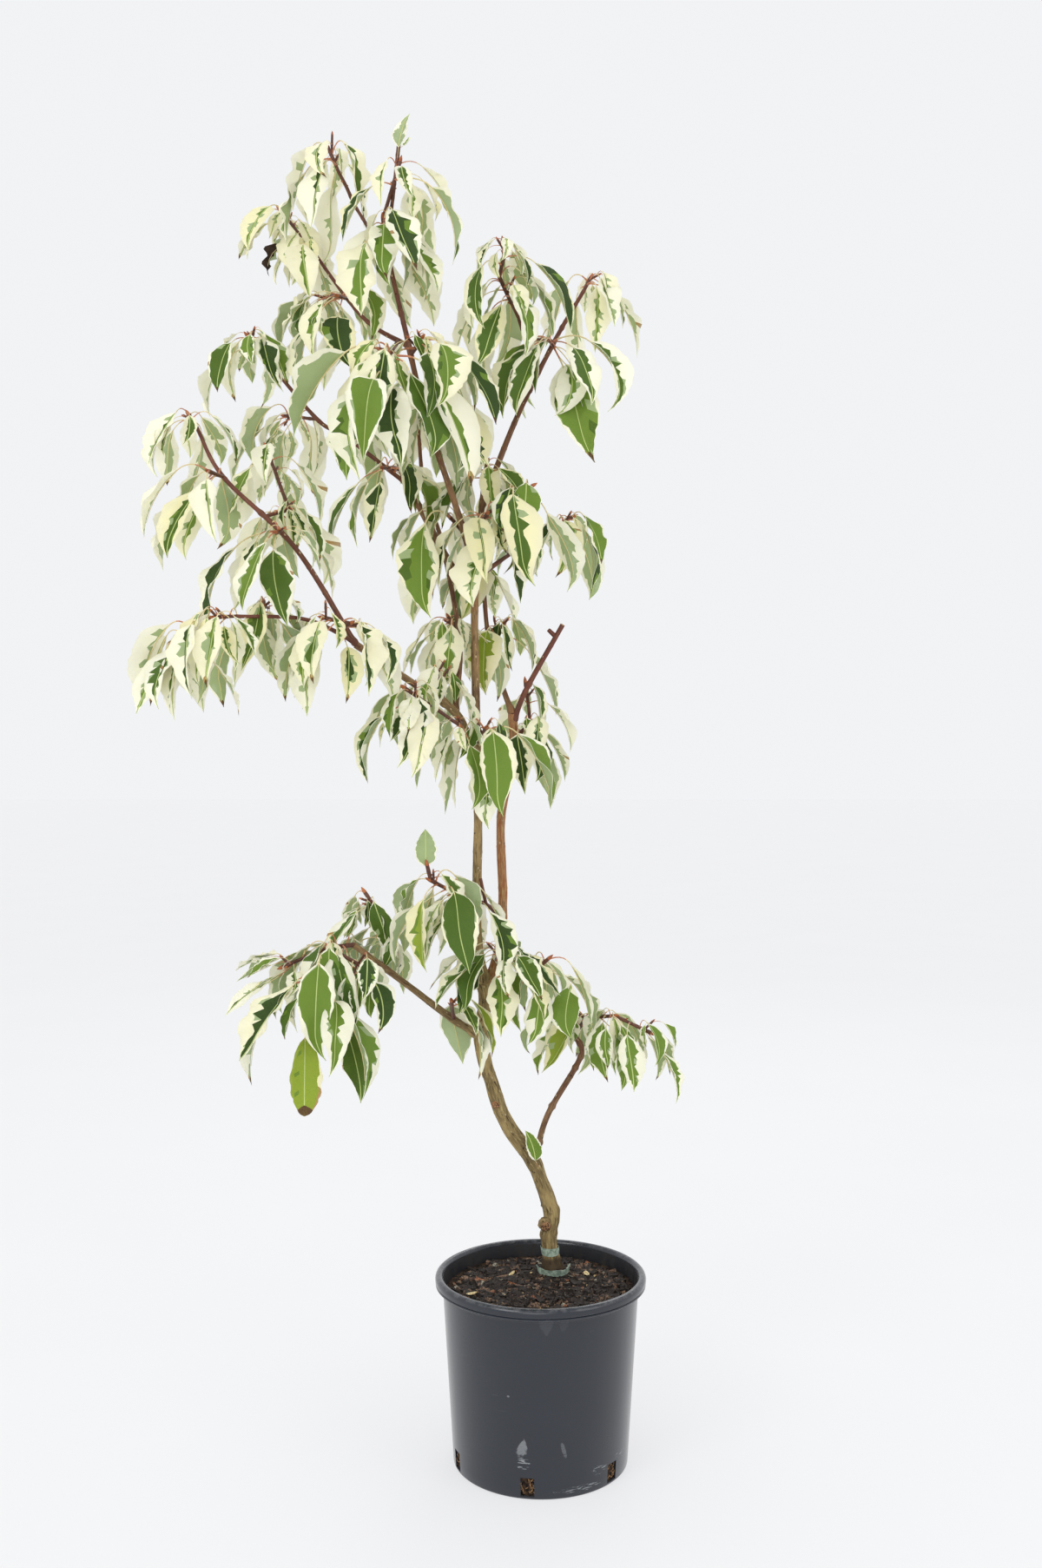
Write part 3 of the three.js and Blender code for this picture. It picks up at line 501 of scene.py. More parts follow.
def grow_crown():
    """The whole crown: for each mass its twigs, and for each twig its leaves' poses."""
    crown = {mass: twigs_of(mass) for mass in MASSES}
    bark = [bark_along(LINES[name], partial(limb_radius, name)) for name in LIMBS]
    bark += [bark_along(twig.line, lambda at: TWIG.tip) for twigs in crown.values() for twig in twigs]
    bark = np.vstack(bark)
    taken = np.array([EYE]) * METRE  # places on leaves, with the eye as the first
    sight = sightlines()
    for number, twigs in enumerate(crown.values()):
        for twig in twigs:
            taken = grow_leaves(number, twig, taken, bark, sight, LEAST_ROOM)
    low, high = taken[1:].min(0), taken[1:].max(0)  # the finer shoots' leaves stay within the rest
    for number, twigs in enumerate(crown.values()):
        sprigs = [sprig for twig in twigs if twig.leaves > 2 for sprig in sprigs_of(number, twig)]
        for sprig in sprigs:
            taken = grow_leaves(number, sprig, taken, bark, sight, SPRIG.least_room, low, high)
        twigs += [sprig for sprig in sprigs if len(sprig.poses) > 1]
    return crown


def grow_leaves(number, twig, taken, bark, sight, least_room, low=-math.inf, high=math.inf):
    """Gives a twig its leaves, each in the clearest of the poses tried, between two corners."""
    for leaf in range(twig.leaves):
        best = SimpleNamespace(room=least_room, pose=None)
        for attempt in range(TRIES + MORE_TRIES):
            if attempt >= TRIES and best.pose:
                break
            pose = leaf_pose(number, twig, leaf, attempt)
            samples = leaf_samples(pose)
            if (samples < low).any() or (samples > high).any():
                continue
            room = room_of(samples, taken, bark, sight)
            if room > best.room:
                best = SimpleNamespace(room=room, pose=pose, samples=samples)
        if best.pose is None:
            continue
        twig.poses.append(best.pose)
        taken = np.vstack([taken, best.samples])
    return taken


def room_of(samples, taken, bark, sight):
    """The room round a leaf: 1 is enough, 0 is touching."""
    view = np.linalg.norm(samples[:, None] - sight, axis=2).min() / SIGHT_ROOM
    leaves = np.linalg.norm(samples[:, None] - taken, axis=2).min() / LEAF_ROOM
    stems = (np.linalg.norm(samples[:, None] - bark[:, :3], axis=2) - bark[:, 3]).min() / BARK_ROOM
    return min(1, leaves, stems, view)


# Shapes gathered into meshes.
class Heap:
    """Many small shapes that become one piece."""

    def __init__(self):
        self.places = []
        self.faces = []
        self.slots = []
        self.fields = {}
        self.count = 0

    def put(self, places, faces, slots=0, **fields):
        """Adds a shape: its places, in mm, its faces, each one's material slot, and fields by place."""
        self.places.append(np.asarray(places, float))
        self.faces += [[self.count + corner for corner in face] for face in faces]
        self.slots += slots if isinstance(slots, list) else [slots] * len(faces)
        for name, values in fields.items():
            self.fields.setdefault(name, []).append(np.asarray(values, float))
        self.count += len(places)


def mesh_of(name, heap):
    """The heap as a mesh, in metres."""
    mesh = bpy.data.meshes.new(name)
    mesh.from_pydata((np.vstack(heap.places) * MM).tolist(), [], heap.faces)
    return mesh


def stand_in(name, heap):
    """A plain object of a heap's shapes."""
    return link(name, mesh_of(name, heap))


def soften(mesh, crease):
    """Smooth shading, with sharp edges where faces meet at more than an angle."""
    mesh.shade_smooth()
    mesh.set_sharp_from_angle(angle=math.radians(crease))


def link(name, data):
    """A new object in the scene."""
    obj = bpy.data.objects.new(name, data)
    bpy.context.scene.collection.objects.link(obj)
    return obj


def piece(name, heap, finishes, crease=50):
    """A finished piece of the plant: a smooth mesh, in metres, with its materials."""
    mesh = mesh_of(name, heap)
    mesh.polygons.foreach_set("material_index", heap.slots)
    for field, parts in heap.fields.items():
        values = np.concatenate(parts)
        kind, key = ("FLOAT_VECTOR", "vector") if values.ndim == 2 else ("FLOAT", "value")
        mesh.attributes.new(field, kind, "POINT").data.foreach_set(key, values.ravel())
    for finish in finishes:
        mesh.materials.append(finish)
    soften(mesh, crease)
    return keep(name, mesh)


def keep(name, mesh):
    """A piece that stays in the visual model, on the part's one body."""
    obj = link(name, mesh)
    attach(obj, "root")
    return obj


def circle(count):
    """Even turns round a circle."""
    return 2 * np.pi * np.arange(count) / count


def sides_along(places):
    """Two directions across a path at each of its places, turned with it without twisting."""
    along = unit(np.gradient(places, axis=0))
    normal = np.array((0.2, -1, 0.1))
    normals = []
    for direction in along:
        normal = normal - direction * normal.dot(direction)
        normal = normal / np.linalg.norm(normal)
        normals.append(normal)
    return np.array(normals), np.cross(along, normals)


def spokes_along(places, sides):
    """The directions from each place of a path out to the sides of a tube round it."""
    normal, binormal = sides_along(places)
    turn = circle(sides)[:, None]
    return normal[:, None] * np.cos(turn) + binormal[:, None] * np.sin(turn)


def grid_faces(rows, columns):
    """Faces of a grid of rows that each close into a ring."""
    faces = []
    for row in range(rows - 1):
        low = row * columns
        high = low + columns
        for c in range(columns):
            d = (c + 1) % columns
            faces.append([low + c, low + d, high + d, high + c])
    return faces


def tube(places, radii, sides):
    """A closed tube along a path, with a middle place to close each end."""
    places = np.asarray(places, float)
    radii = np.asarray(radii, float)[:, None, None]
    skin = (places[:, None] + spokes_along(places, sides) * radii).reshape(-1, 3)
    return close_ends(skin, len(places), sides, places[0], places[-1])


def close_ends(skin, rows, columns, first, last):
    """The faces of a tube's skin, with a middle place at each end to close it."""
    faces = grid_faces(rows, columns)
    low = len(skin)
    high = low + 1
    top = (rows - 1) * columns
    for c in range(columns):
        d = (c + 1) % columns
        faces.append([low, d, c])
        faces.append([high, top + c, top + d])
    return np.vstack([skin, first, last]), faces


def tube_slots(rings, sides, foot, tip):
    """A closed tube's slots, from one for each ring of faces, and its two ends'."""
    return np.repeat(rings, sides).tolist() + [foot, tip] * sides


def by_place(values, sides):
    """A closed tube's field, from a value for each ring of places."""
    return np.concatenate([np.repeat(values, sides), values[[0, -1]]])


def round_axis(radius, turn, height):
    """Places at radii and heights and turns round an upright axis."""
    return np.stack(np.broadcast_arrays(radius * np.cos(turn), radius * np.sin(turn), height), axis=-1)


def turned(profile, segments):
    """A turned shape: a profile of radii and heights that starts and ends on the axis."""
    inner = np.array(profile[1:-1], float)
    skin = round_axis(inner[:, :1], circle(segments), inner[:, 1:]).reshape(-1, 3)
    ends = [(0, 0, height) for _, height in (profile[0], profile[-1])]
    return close_ends(skin, len(inner), segments, *ends)


# Materials. A Value is a number that varies over a surface, and arithmetic on it adds Math nodes.
class Value:
    def __init__(self, graph, socket):
        self.graph = graph
        self.socket = socket

    def math(self, operation, *others):
        inputs = dict(enumerate((self, *others)))
        return self.graph.add("ShaderNodeMath", {"operation": operation}, inputs)

    def __add__(self, other):
        return self.math("ADD", other)

    def __mul__(self, other):
        return self.math("MULTIPLY", other)

    def __sub__(self, other):
        return self.math("SUBTRACT", other)

    def __neg__(self):
        return self.math("MULTIPLY", -1)

    def __rsub__(self, other):
        return self.graph.add("ShaderNodeMath", {"operation": "SUBTRACT"}, {0: other, 1: self})

    __radd__ = __add__
    __rmul__ = __mul__


def socket_of(sockets, key):
    if isinstance(key, int):
        return sockets[key]
    return next(socket for socket in sockets if socket.name == key and socket.enabled)


def feed(tree, socket, value):
    """Gives a socket a plain value, or a link from a Value or another socket."""
    if isinstance(value, Value):
        value = value.socket
    if isinstance(value, bpy.types.NodeSocket):
        tree.links.new(value, socket)
    else:
        socket.default_value = value


def add_node(tree, kind, settings, inputs, output=0):
    """Adds a node and gives one of its outputs."""
    node = tree.nodes.new(kind)
    for key, value in settings.items():
        setattr(node, key, value)
    for key, value in inputs.items():
        feed(tree, socket_of(node.inputs, key), value)
    return socket_of(node.outputs, output)


def colour(red, green, blue):
    """A colour given as it looks on a screen, 0 to 255, as the linear colour that a shader takes."""
    levels = [level / 255 for level in (red, green, blue)]
    linear = [x / 12.92 if x <= 0.04045 else ((x + 0.055) / 1.055) ** 2.4 for x in levels]
    return (*linear, 1)


class Finish:
    """A material, with its nodes. Sockets that are the same all over are given by name."""

    def __init__(self, name, sockets):
        self.material = bpy.data.materials.new(name)
        self.material.use_nodes = True
        self.tree = self.material.node_tree
        self.shader = self.tree.nodes["Principled BSDF"]
        for socket, value in sockets.items():
            self.shader.inputs[socket].default_value = value

    def add(self, kind, settings, inputs, output=0):
        return Value(self, add_node(self.tree, kind, settings, inputs, output))

    def surface(self, **varying):
        for socket, value in varying.items():
            feed(self.tree, self.shader.inputs[socket.replace("_", " ")], value)

    def places(self, stretch=(1, 1, 1)):
        return self.stretched(self.add("ShaderNodeTexCoord", {}, {}, "Object"), stretch)

    def stretched(self, place, stretch):
        return self.add("ShaderNodeMapping", {}, {"Vector": place, "Scale": stretch})

    def axis(self, name):
        """The place along one axis, in mm."""
        return METRE * self.add("ShaderNodeSeparateXYZ", {}, {0: self.places()}, name)

    def field(self, name, output="Fac"):
        return self.add("ShaderNodeAttribute", {"attribute_name": name}, {}, output)

    def cloud(self, place, size, detail=3, roughness=0.55):
        """Noise from 0 to 1 whose lumps are about a size across, in mm."""
        inputs = {"Vector": place, "Scale": METRE / size, "Detail": detail, "Roughness": roughness}
        return self.add("ShaderNodeTexNoise", {}, inputs)

    def cells(self, place, size):
        """Distance to the nearest of scattered points about a size apart, in mm, as a share of it."""
        inputs = {"Vector": place, "Scale": METRE / size}
        return self.add("ShaderNodeTexVoronoi", {}, inputs, "Distance")

    def rise(self, value, low, high):
        """0 where a value is below low, 1 where it is above high, smooth between."""
        inputs = {"Value": value, "From Min": low, "From Max": high}
        return self.add("ShaderNodeMapRange", {"interpolation_type": "SMOOTHSTEP"}, inputs)

    def tint(self, share, below, above):
        """A colour that goes from one to another by a share. Plain ones are given as for colour()."""
        below, above = (end if isinstance(end, Value) else colour(*end) for end in (below, above))
        inputs = {"Factor": share, "A": below, "B": above}
        return self.add("ShaderNodeMix", {"data_type": "RGBA"}, inputs, "Result")

    def blend(self, value, low, high, below, above):
        """A colour that goes from one to another as a value rises."""
        return self.tint(self.rise(value, low, high), below, above)

    def layered(self, shade, *layers):
        """A colour with others laid over it, each by its share."""
        for share, over in layers:
            shade = self.tint(share, shade, over)
        return shade

    def relief(self, height, depth):
        """Bumps of a depth in mm where a height goes from 0 to 1."""
        bump = self.add("ShaderNodeBump", {}, {"Height": height, "Distance": depth * MM, "Strength": 1.0})
        self.surface(Normal=bump)
        return self.material


def leaf_finish(name, shade):
    """A plain colour of leaf, finely puckered. The paler it is, the more light it lets through."""
    finish = Finish(name, {
        "Base Color": colour(*shade), "Specular IOR Level": 0.3, "Subsurface Weight": 0.38 * shade[0] / 250,
        "Subsurface Radius": (1, 1, 0.6), "Subsurface Scale": 0.003,
    })
    place = finish.places()
    fine = finish.cloud(place, 1.6)
    broad = finish.cloud(place, 9)
    finish.surface(Roughness=0.56 + 0.12 * broad)
    return finish.relief(fine * 0.35 + broad * 0.65, 1.1)


LEAF_SHADES = {
    "deep": (45, 68, 18), "mid": (69, 97, 27), "light": (99, 128, 42), "yellow": (130, 150, 42),
    "grey": (150, 168, 122), "rib": (180, 196, 122), "cream": (246, 241, 198), "pale": (248, 245, 212),
    # under_green and under_cream: the under sides' own paler colours, brightened as painted light shining
    # through the leaf
    "straw": (240, 232, 178), "under_green": (158, 175, 136), "under_cream": (250, 247, 216),
    "dark": (42, 29, 23), "brown": (84, 58, 34), "tan": (160, 122, 70),
}
# What the under side of each shade looks like. The under sides' own shades are made brighter, as painted
# light shining through the leaf.
UNDER_SHADES = {
    "deep": "under_green", "mid": "under_green", "light": "grey", "yellow": "grey",
    "cream": "under_cream", "pale": "under_cream", "straw": "under_cream",
}
LEAF_SLOTS = {name: slot for slot, name in enumerate(LEAF_SHADES)}


def bark_finish():
    """Bark: red-brown where young, olive and furrowed where old, with pale lenticels."""
    finish = Finish("bark", {"Specular IOR Level": 0.35})
    grain = finish.field("grain", "Vector")
    age = finish.field("age")
    rust = finish.field("rust")

    def along(stretch):
        return finish.stretched(grain, (1, 1, stretch))

    streaks = finish.cloud(along(0.16), 2.2, 5, 0.6)
    patches = finish.cloud(along(0.4), 14, 3)
    fine = finish.cloud(grain, 0.8, 2)
    threads = finish.cloud(along(0.12), 1.3, 3)
    furrows = finish.rise(streaks, 0.54, 0.68) * (0.25 + 0.6 * age)
    dots = 1 - finish.rise(finish.cells(along(0.8), 13), 0.06, 0.1)
    lenticels = 1 - finish.rise(finish.cells(along(0.55), 7), 0.09, 0.15)
    # Painted shade: the bark below the tape band is darkened where the band and the loose loop round the
    # foot shade it.
    painted_shade_under_tape = 1 - finish.rise(finish.axis("Z") + 8 * streaks, TAPE.low, TAPE.low + 9)
    young = finish.tint(patches, (82, 42, 37), (128, 73, 58))
    old = finish.blend(patches, 0.35, 0.65, (111, 94, 61), (163, 141, 94))
    peeling = finish.blend(streaks, 0.35, 0.65, (140, 84, 48), (176, 134, 92))
    shade = finish.layered(
        finish.tint(age, young, old),
        (finish.rise(rust * 1.4 + patches - 0.5, 0.3, 0.8), peeling),
        (finish.rise(threads, 0.54, 0.66) * (0.15 + 0.55 * age), (180, 160, 108)),
        (furrows, (58, 43, 28)),
        (dots * 0.85, (38, 28, 22)),
        (lenticels * 0.85, (204, 184, 146)),
        # painted shade below the tape band
        (painted_shade_under_tape * (0.7 + 0.3 * patches), (50, 35, 26)),
    )
    finish.surface(Base_Color=shade, Roughness=0.52 + 0.22 * age + 0.15 * streaks)
    return finish.relief(lenticels * 0.35 - furrows * 0.8 + fine * 0.2 + threads * 0.3 + 0.5, 0.7)


def shoot_finish(name, dark, light):
    """A young shoot, bud or leaf stalk, flecked and lightly ribbed."""
    finish = Finish(name, {"Specular IOR Level": 0.4})
    place = finish.places()
    flecks = finish.cloud(place, 3, 3)
    broad = finish.cloud(place, 26, 2)
    shade = finish.blend(flecks * 0.5 + broad * 0.5, 0.35, 0.65, dark, light)
    finish.surface(Base_Color=shade, Roughness=0.35 + 0.2 * flecks)
    return finish.relief(flecks, 0.2)


def clouded_finish(name, sockets, cloud, ends, shades, roughness, depth):
    """A surface that clouds colour from dark to light and roughen."""
    finish = Finish(name, sockets)
    clouds = finish.cloud(finish.places(), *cloud)
    least, more = roughness
    finish.surface(Base_Color=finish.blend(clouds, *ends, *shades), Roughness=least + more * clouds)
    return finish.relief(clouds, depth)


def bare_wood_finish(name, dark, light, depth):
    """Weathered wood where a branch was pruned."""
    return clouded_finish(name, {}, (1.8, 4, 0.65), (0.4, 0.6), (dark, light), (0.75, 0.1), depth)


# The fine leaf: a thin closed blade whose rows follow its veins. Each side of the midrib has a strip
# of rib, two of green and two of cream, and the green's edge is toothed from vein to vein.
ROWS = 22
COLUMNS = 10
VEIN_LEAD = 0.5  # how far forward the veins run towards the margin
THICKNESS = 0.4
RIB = 0.55  # half width of the pale midrib
SIDE = np.repeat([-1, 1], COLUMNS // 2)
# Chance of each pattern, how far the green reaches from the midrib, and how deep its teeth are.
PATTERNS = [
    (0.14, 0.84, 0.08), (0.2, 0.66, 0.15), (0.22, 0.45, 0.24), (0.18, 0.2, 0.24), (0.26, 0.02, 0.16),
]
# How the green varies: its reach, its slow waves, how often and how deep a bite is missing from it,
# the most that it reaches, and how far the strip of cream beside it reaches towards the edge.
GREEN = SimpleNamespace(play=0.34, wave=0.16, bitten=0.16, bite=0.85, most=0.955, patch=(0.08, 0.4))
# The blade's form: its least width, how unlike its halves are, how its edge wavers, how much it cups
# at the midrib and how much less at its edge, how far it is quilted, and where its tip hooks from.
BLADE = SimpleNamespace(
    least=0.02, lopsided=0.16, waver=0.12, cup=1.25, flatter=0.4, quilt=0.012, hook_start=0.72,
)
# Below what draw a leaf is deep green, or else mid green, and pale, lower and higher than a height in
# mm, or else cream, and how often it is yellow, brown at its tip or tan at its edge.
ODDS = SimpleNamespace(
    deep=0.26, mid=0.68, height=780, pale_low=0.85, pale_high=0.45, cream=0.75,
    yellow=0.04, brown_tip=0.2, tan_edge=0.12,
)
# How much likelier cream leaves are in some masses than in the rest, or green ones, below 0.
PALER = {
    "front_low": -0.12, "right_low": -0.15, "bottom_right_tip": -0.15, "bottom_left_under": -0.1,
    "bottom_left_tip": -0.3, "bottom_left_up": -0.2, "mid_left_twig": -0.15,
    "right_bough_mid": -0.25, "outer_left_mid": -0.1, "stem_front": -0.1, "leader_right": -0.1,
    "upper_left_tip": 0.7, "top_left": 0.35, "leader_top": 0.12, "lowest_left_tip": 0.25,
    "lower_drop": 0.15, "outer_left_tip": 0.2, "right_bough_tip": 0.15, "inner_twig": 0.2,
    "left_straight_tip": 0.1,
}
# Leaves marked so are greener than chance makes them.
GREENER = ("greener", "bright")
# The masses whose green is soft and pale.
SOFT_MASSES = [list(MASSES).index(name) for name in ("right_low", "bottom_right_tip")]


def teeth(keys, channel):
    """A saw edge from row to row: teeth of one to four rows, uneven in depth, from -1 to 1."""
    saw = np.zeros(ROWS + 4)
    row = 0
    while row < ROWS:
        length = 1 + int(3.4 * chance(*keys, channel, row))
        depth = 2 * chance(*keys, channel, row, 1) - 0.8
        saw[row:row + length] = depth * np.linspace(1, -0.5, length) if length > 1 else depth
        row += length
    return saw[:ROWS]


def green_edges(keys, rib, paler):
    """How far the green reaches at each row, on the left and on the right of the midrib."""
    random = partial(chance, *keys)
    draw = min(max(random(40) + paler, 0), 0.999)
    for share, reach, jag in PATTERNS:
        if draw < share:
            break
        draw -= share
    row = np.linspace(0, 1, ROWS)
    edges = []
    for side in (0, 1):
        level = reach + GREEN.play * (random(41, side) - 0.5)
        waves = row * mix(0.6, 1.6, random(48, side)) + random(49, side)
        edge = level + GREEN.wave * np.sin(2 * np.pi * waves) + jag * teeth((*keys, side), 42)
        if random(44, side) < GREEN.bitten:
            bite = 0.1 + 0.7 * random(45, side)
            near = np.abs(row - bite) < mix(0.04, 0.14, random(39, side))
            edge = edge * (1 - GREEN.bite * near)
        edge = edge * smooth(row, -0.02, 0.12)
        edges.append(np.clip(edge, rib + 0.04, GREEN.most))
    return edges


def leaf_columns(keys, rib, paler):
    """Distances across the blade at each row, as shares of its half width, left to right."""
    sides = []
    least, play = GREEN.patch
    for side, edge in enumerate(green_edges(keys, rib, paler)):
        patch = mix(edge, 1, least + play * chances(keys, 35 - side, ROWS))
        sides.append([np.ones(ROWS), patch, edge, (rib + edge) / 2, rib])
    return np.stack([*(-column for column in sides[0]), *sides[1][::-1]], axis=1)


def outline(share, widest=0.68, tip=1.3):
    """The blade's half width along it: rounded at the base, drawn out to a long tip."""
    most = widest / (widest + tip)
    return share**widest * (1 - share) ** tip / (most**widest * (1 - most) ** tip)


def swayed(look, share):
    """How far the midrib bends sideways along the blade, as shares of its length."""
    return look.sway * np.sin(np.pi * share) * (0.4 + share) + look.swing * share**1.5


def blade_places(pose, look):
    """The middle surface of the blade, with the direction out of it at each place."""
    keys = pose.keys
    row = np.linspace(0, 1, ROWS)
    width = pose.half_width * np.maximum(outline(row, look.widest, look.tip), BLADE.least)
    across = leaf_columns(keys, np.minimum(RIB / np.maximum(width, 0.1), 0.4), look.paler)
    far = np.abs(across)
    share = row[:, None] + VEIN_LEAD * (row * (1 - row))[:, None] * far
    lopsided = 1 + BLADE.lopsided * (2 * chance(*keys, 46) - 1) * SIDE
    waver = 1 + BLADE.waver * (chances(keys, 47, ROWS)[:, None] - 0.5) * far
    width = pose.half_width * np.maximum(outline(share, look.widest, look.tip), BLADE.least)
    width = width * lopsided * waver * look.width
    place, side, face = blade_rows(pose, share)
    reach = width * far
    sway = swayed(look, share) * pose.length
    hooked = np.maximum(share - BLADE.hook_start, 0) / (1 - BLADE.hook_start)
    hook = look.hook * pose.length * hooked**2
    curl = look.curl * (share - 0.5) * np.sin(np.pi * share)
    fold = pose.fold + curl
    creased = 0.5 * chances(keys, 38, ROWS) - 0.9 * (np.arange(ROWS) % 3 == 1)
    quilt = creased[:, None] * np.sin(np.pi * np.minimum(far * 1.05, 1))
    wave = np.sin(2 * np.pi * (look.waves * share + look.phase + 0.3 * SIDE)) * far**2
    rise = reach * np.sin(fold) * (BLADE.cup - BLADE.flatter * far)
    rise = rise + quilt * BLADE.quilt * pose.length * np.minimum(outline(share), 1)
    rise = rise + wave * look.ripple * pose.half_width * np.sin(np.pi * np.minimum(share * 1.05, 1))
    offset = across * width * np.cos(fold) + sway + hook
    return place + side * offset[..., None] + face * rise[..., None], face


def leaf_look(pose, mark, paler=0):
    """The bends and waves of one leaf's blade."""
    random = partial(chance, *pose.keys)
    look = SimpleNamespace(
        width=mix(1, 1.28, random(60)), widest=mix(0.85, 1.2, random(66)), tip=1.3,
        sway=0.2 * (random(61) - 0.5), swing=0.62 * (random(68) - 0.5), hook=0.22 * (random(67) - 0.5),
        curl=1.1 * (random(62) - 0.4), waves=mix(1.3, 3.6, random(63)), phase=random(64),
        ripple=mix(0.08, 0.26, random(65)), paler=paler,
    )
    if mark:
        look.swing = 0
    if mark.startswith(GREENER):
        look.paler = -0.7
    elif mark:
        look.width = 1
    if mark == "withered":
        look.ripple = 0.8
        look.waves = 4
    if mark in ("yellowed", "silvery", "low"):
        look.paler = -1
        look.widest, look.tip = (0.7, 0.6) if mark == "yellowed" else (0.6, 1)
        look.curl = look.sway = look.hook = 0
    return look


def leaf_slots(pose, mark):
    """The shade of every face: upper side, then under side, each by rows and strips."""
    random = partial(chance, *pose.keys)
    bands = ROWS - 1
    draw = random(50)
    green = "deep" if draw < ODDS.deep else "mid" if draw < ODDS.mid else "light"
    second = "light" if green != "light" else "mid"
    whiter = ODDS.pale_high if pose.base[2] > ODDS.height else ODDS.pale_low
    cream = "pale" if random(51) < whiter else "cream" if random(52) < ODDS.cream else "straw"
    if mark and green == "deep":
        green = "mid"
    if pose.keys[0] in SOFT_MASSES or mark.startswith(("bright", "low")):
        green, second = "light", "grey"
    if mark == "yellowed" or random(37) < ODDS.yellow:
        green, second, cream = "yellow", "light", "straw"
    if mark == "silvery":
        green, cream = "grey", "pale"
    strips = [cream, cream, green, green, "rib", green, green, cream, cream]
    names = np.array([strips] * bands, dtype=object)
    for side, (strip, patch) in enumerate([(2, 1), (6, 7)]):
        runs = chances(pose.keys, 53 + side, bands)[np.arange(bands) // 2]
        names[(runs > 0.55) & (runs < 0.55 + 0.45 * random(55)), patch] = "grey"
        if not mark:
            names[runs < 0.1, strip] = second
            names[(runs > 0.4) & (runs < 0.4 + 0.1 * random(56)), strip] = "grey"
    if random(57) < ODDS.brown_tip or mark == "yellowed":
        names[-2:] = "brown"
        names[-3, [0, 1, 7, 8]] = "tan"
    if random(58) < ODDS.tan_edge:
        names[int(3 + 9 * random(59)), 8 * (random(59) < 0.5)] = "tan"
    if mark == "yellowed":
        names[:, :8] = "yellow"
        names[3::5, 2] = "light"
        names[:, 4] = "rib"
        names[-10:, 8] = "tan"
        names[-3:] = "brown"
    if mark == "withered":
        names[:] = "dark"
        names[:6] = "grey"
        names[4:7, [0, 3, 7]] = "straw"
        # Painted highlight: a grey-green streak along the left edge, half way along the blade.
        names[8:12, 0] = "grey"
        names[10:16, [3, 6]] = "brown"
        return names, names
    under = names.copy()
    for upper, lower in UNDER_SHADES.items():
        under[names == upper] = lower
    return names, under


# The grid of places on a blade's upper side, and on its under side, that shares the first one's edge.
TOP = np.arange(ROWS * COLUMNS).reshape(ROWS, COLUMNS)
UNDER = TOP.copy()
UNDER[1:-1, 1:-1] = TOP.size + np.arange((ROWS - 2) * (COLUMNS - 2)).reshape(ROWS - 2, COLUMNS - 2)


def sheet_faces(index, flip):
    """The grid's faces. A flipped one starts at the same corner, so that both sides fold alike."""
    corners = [index[:-1, :-1], index[1:, :-1], index[1:, 1:], index[:-1, 1:]]
    if flip:
        corners = [corners[0], *corners[:0:-1]]
    return np.stack(corners, axis=2).reshape(-1, 4)


LEAF_FACES = np.vstack([sheet_faces(TOP, False), sheet_faces(UNDER, True)]).tolist()


def put_leaf(heap, pose, mark, paler):
    """A leaf's blade: two sheets, a thickness apart, that meet round the edge."""
    middle, face = blade_places(pose, leaf_look(pose, mark, paler))
    lift = np.zeros((ROWS, COLUMNS, 1))
    lift[1:-1, 1:-1] = THICKNESS / 2
    upper = (middle + face * lift).reshape(-1, 3)
    under = (middle - face * lift)[1:-1, 1:-1].reshape(-1, 3)
    names = leaf_slots(pose, mark)
    slots = [LEAF_SLOTS[name] for side in names for name in side.ravel()]
    heap.put(np.vstack([upper, under]), LEAF_FACES, slots)


def put_stalk(heap, pose, mark):
    """A leaf's stalk, that curves over from the twig and runs on under the blade as its midrib."""
    sides = 5
    t = np.linspace(0, 1, 8)[:, None]
    stalk = pose.root * (1 - t) ** 2 + 2 * pose.bend * t * (1 - t) + pose.base * t**2
    share = np.linspace(0.08, 0.8, 6)
    place, side, face = blade_rows(pose, share)
    rib = place + side * swayed(leaf_look(pose, mark), share)[:, None] * pose.length - face * 0.45
    thick = pose.length / 90
    radii = np.concatenate([
        thick * (0.75 + 0.75 * np.exp(-7 * t[:, 0])), np.linspace(0.7, 0.25, len(share)) * thick,
    ])
    places, faces = tube(np.vstack([stalk, rib]), radii, sides)
    red = int(1 + 5 * chance(*pose.keys, 70))
    rings = [int(row >= red) for row in range(len(radii) - 1)]
    heap.put(places, faces, tube_slots(rings, sides, 0, 1))


# Bark on limbs and twigs.
LIMB_RING = 2.4  # mm between a limb's rings
# How far each limb's grain is from the one before, so that no two show the same bark.
GRAIN_STEP = SimpleNamespace(limb=0.37, knob=0.61)
SIDES = SimpleNamespace(trunk=30, limb=16, twig=9, spur=7)
# Swellings, as how much thicker the limb is there and how far along it they reach, in mm. A collar
# reaches as far as its parent is thick. The scars of old leaves stand out by mm.
COLLAR = 0.4
FORK = (0.12, 9)
KNUCKLE = (0.32, 2.6)
LIMB_SCAR = (0.32, 1.3)
TWIG_SCAR = (0.35, 1.2)
# From one scar to the next on a limb: the least, how much more for each mm of radius, and the play.
SCAR_GAP = SimpleNamespace(least=26, by_radius=3, play=12)
ROOTS = SimpleNamespace(out=2.2, height=14)


def barked(places, radii, sides, relief):
    """A limb's skin with relief, and each place's field of grain: round, round and along, in mm."""
    run = lengths_along(places)
    grain = round_axis(radii[:, None], circle(sides), run[:, None])
    out = spokes_along(places, sides)
    skin = places[:, None] + out * (radii[:, None] + relief(grain, run))[..., None]
    return skin.reshape(-1, 3), grain.reshape(-1, 3)


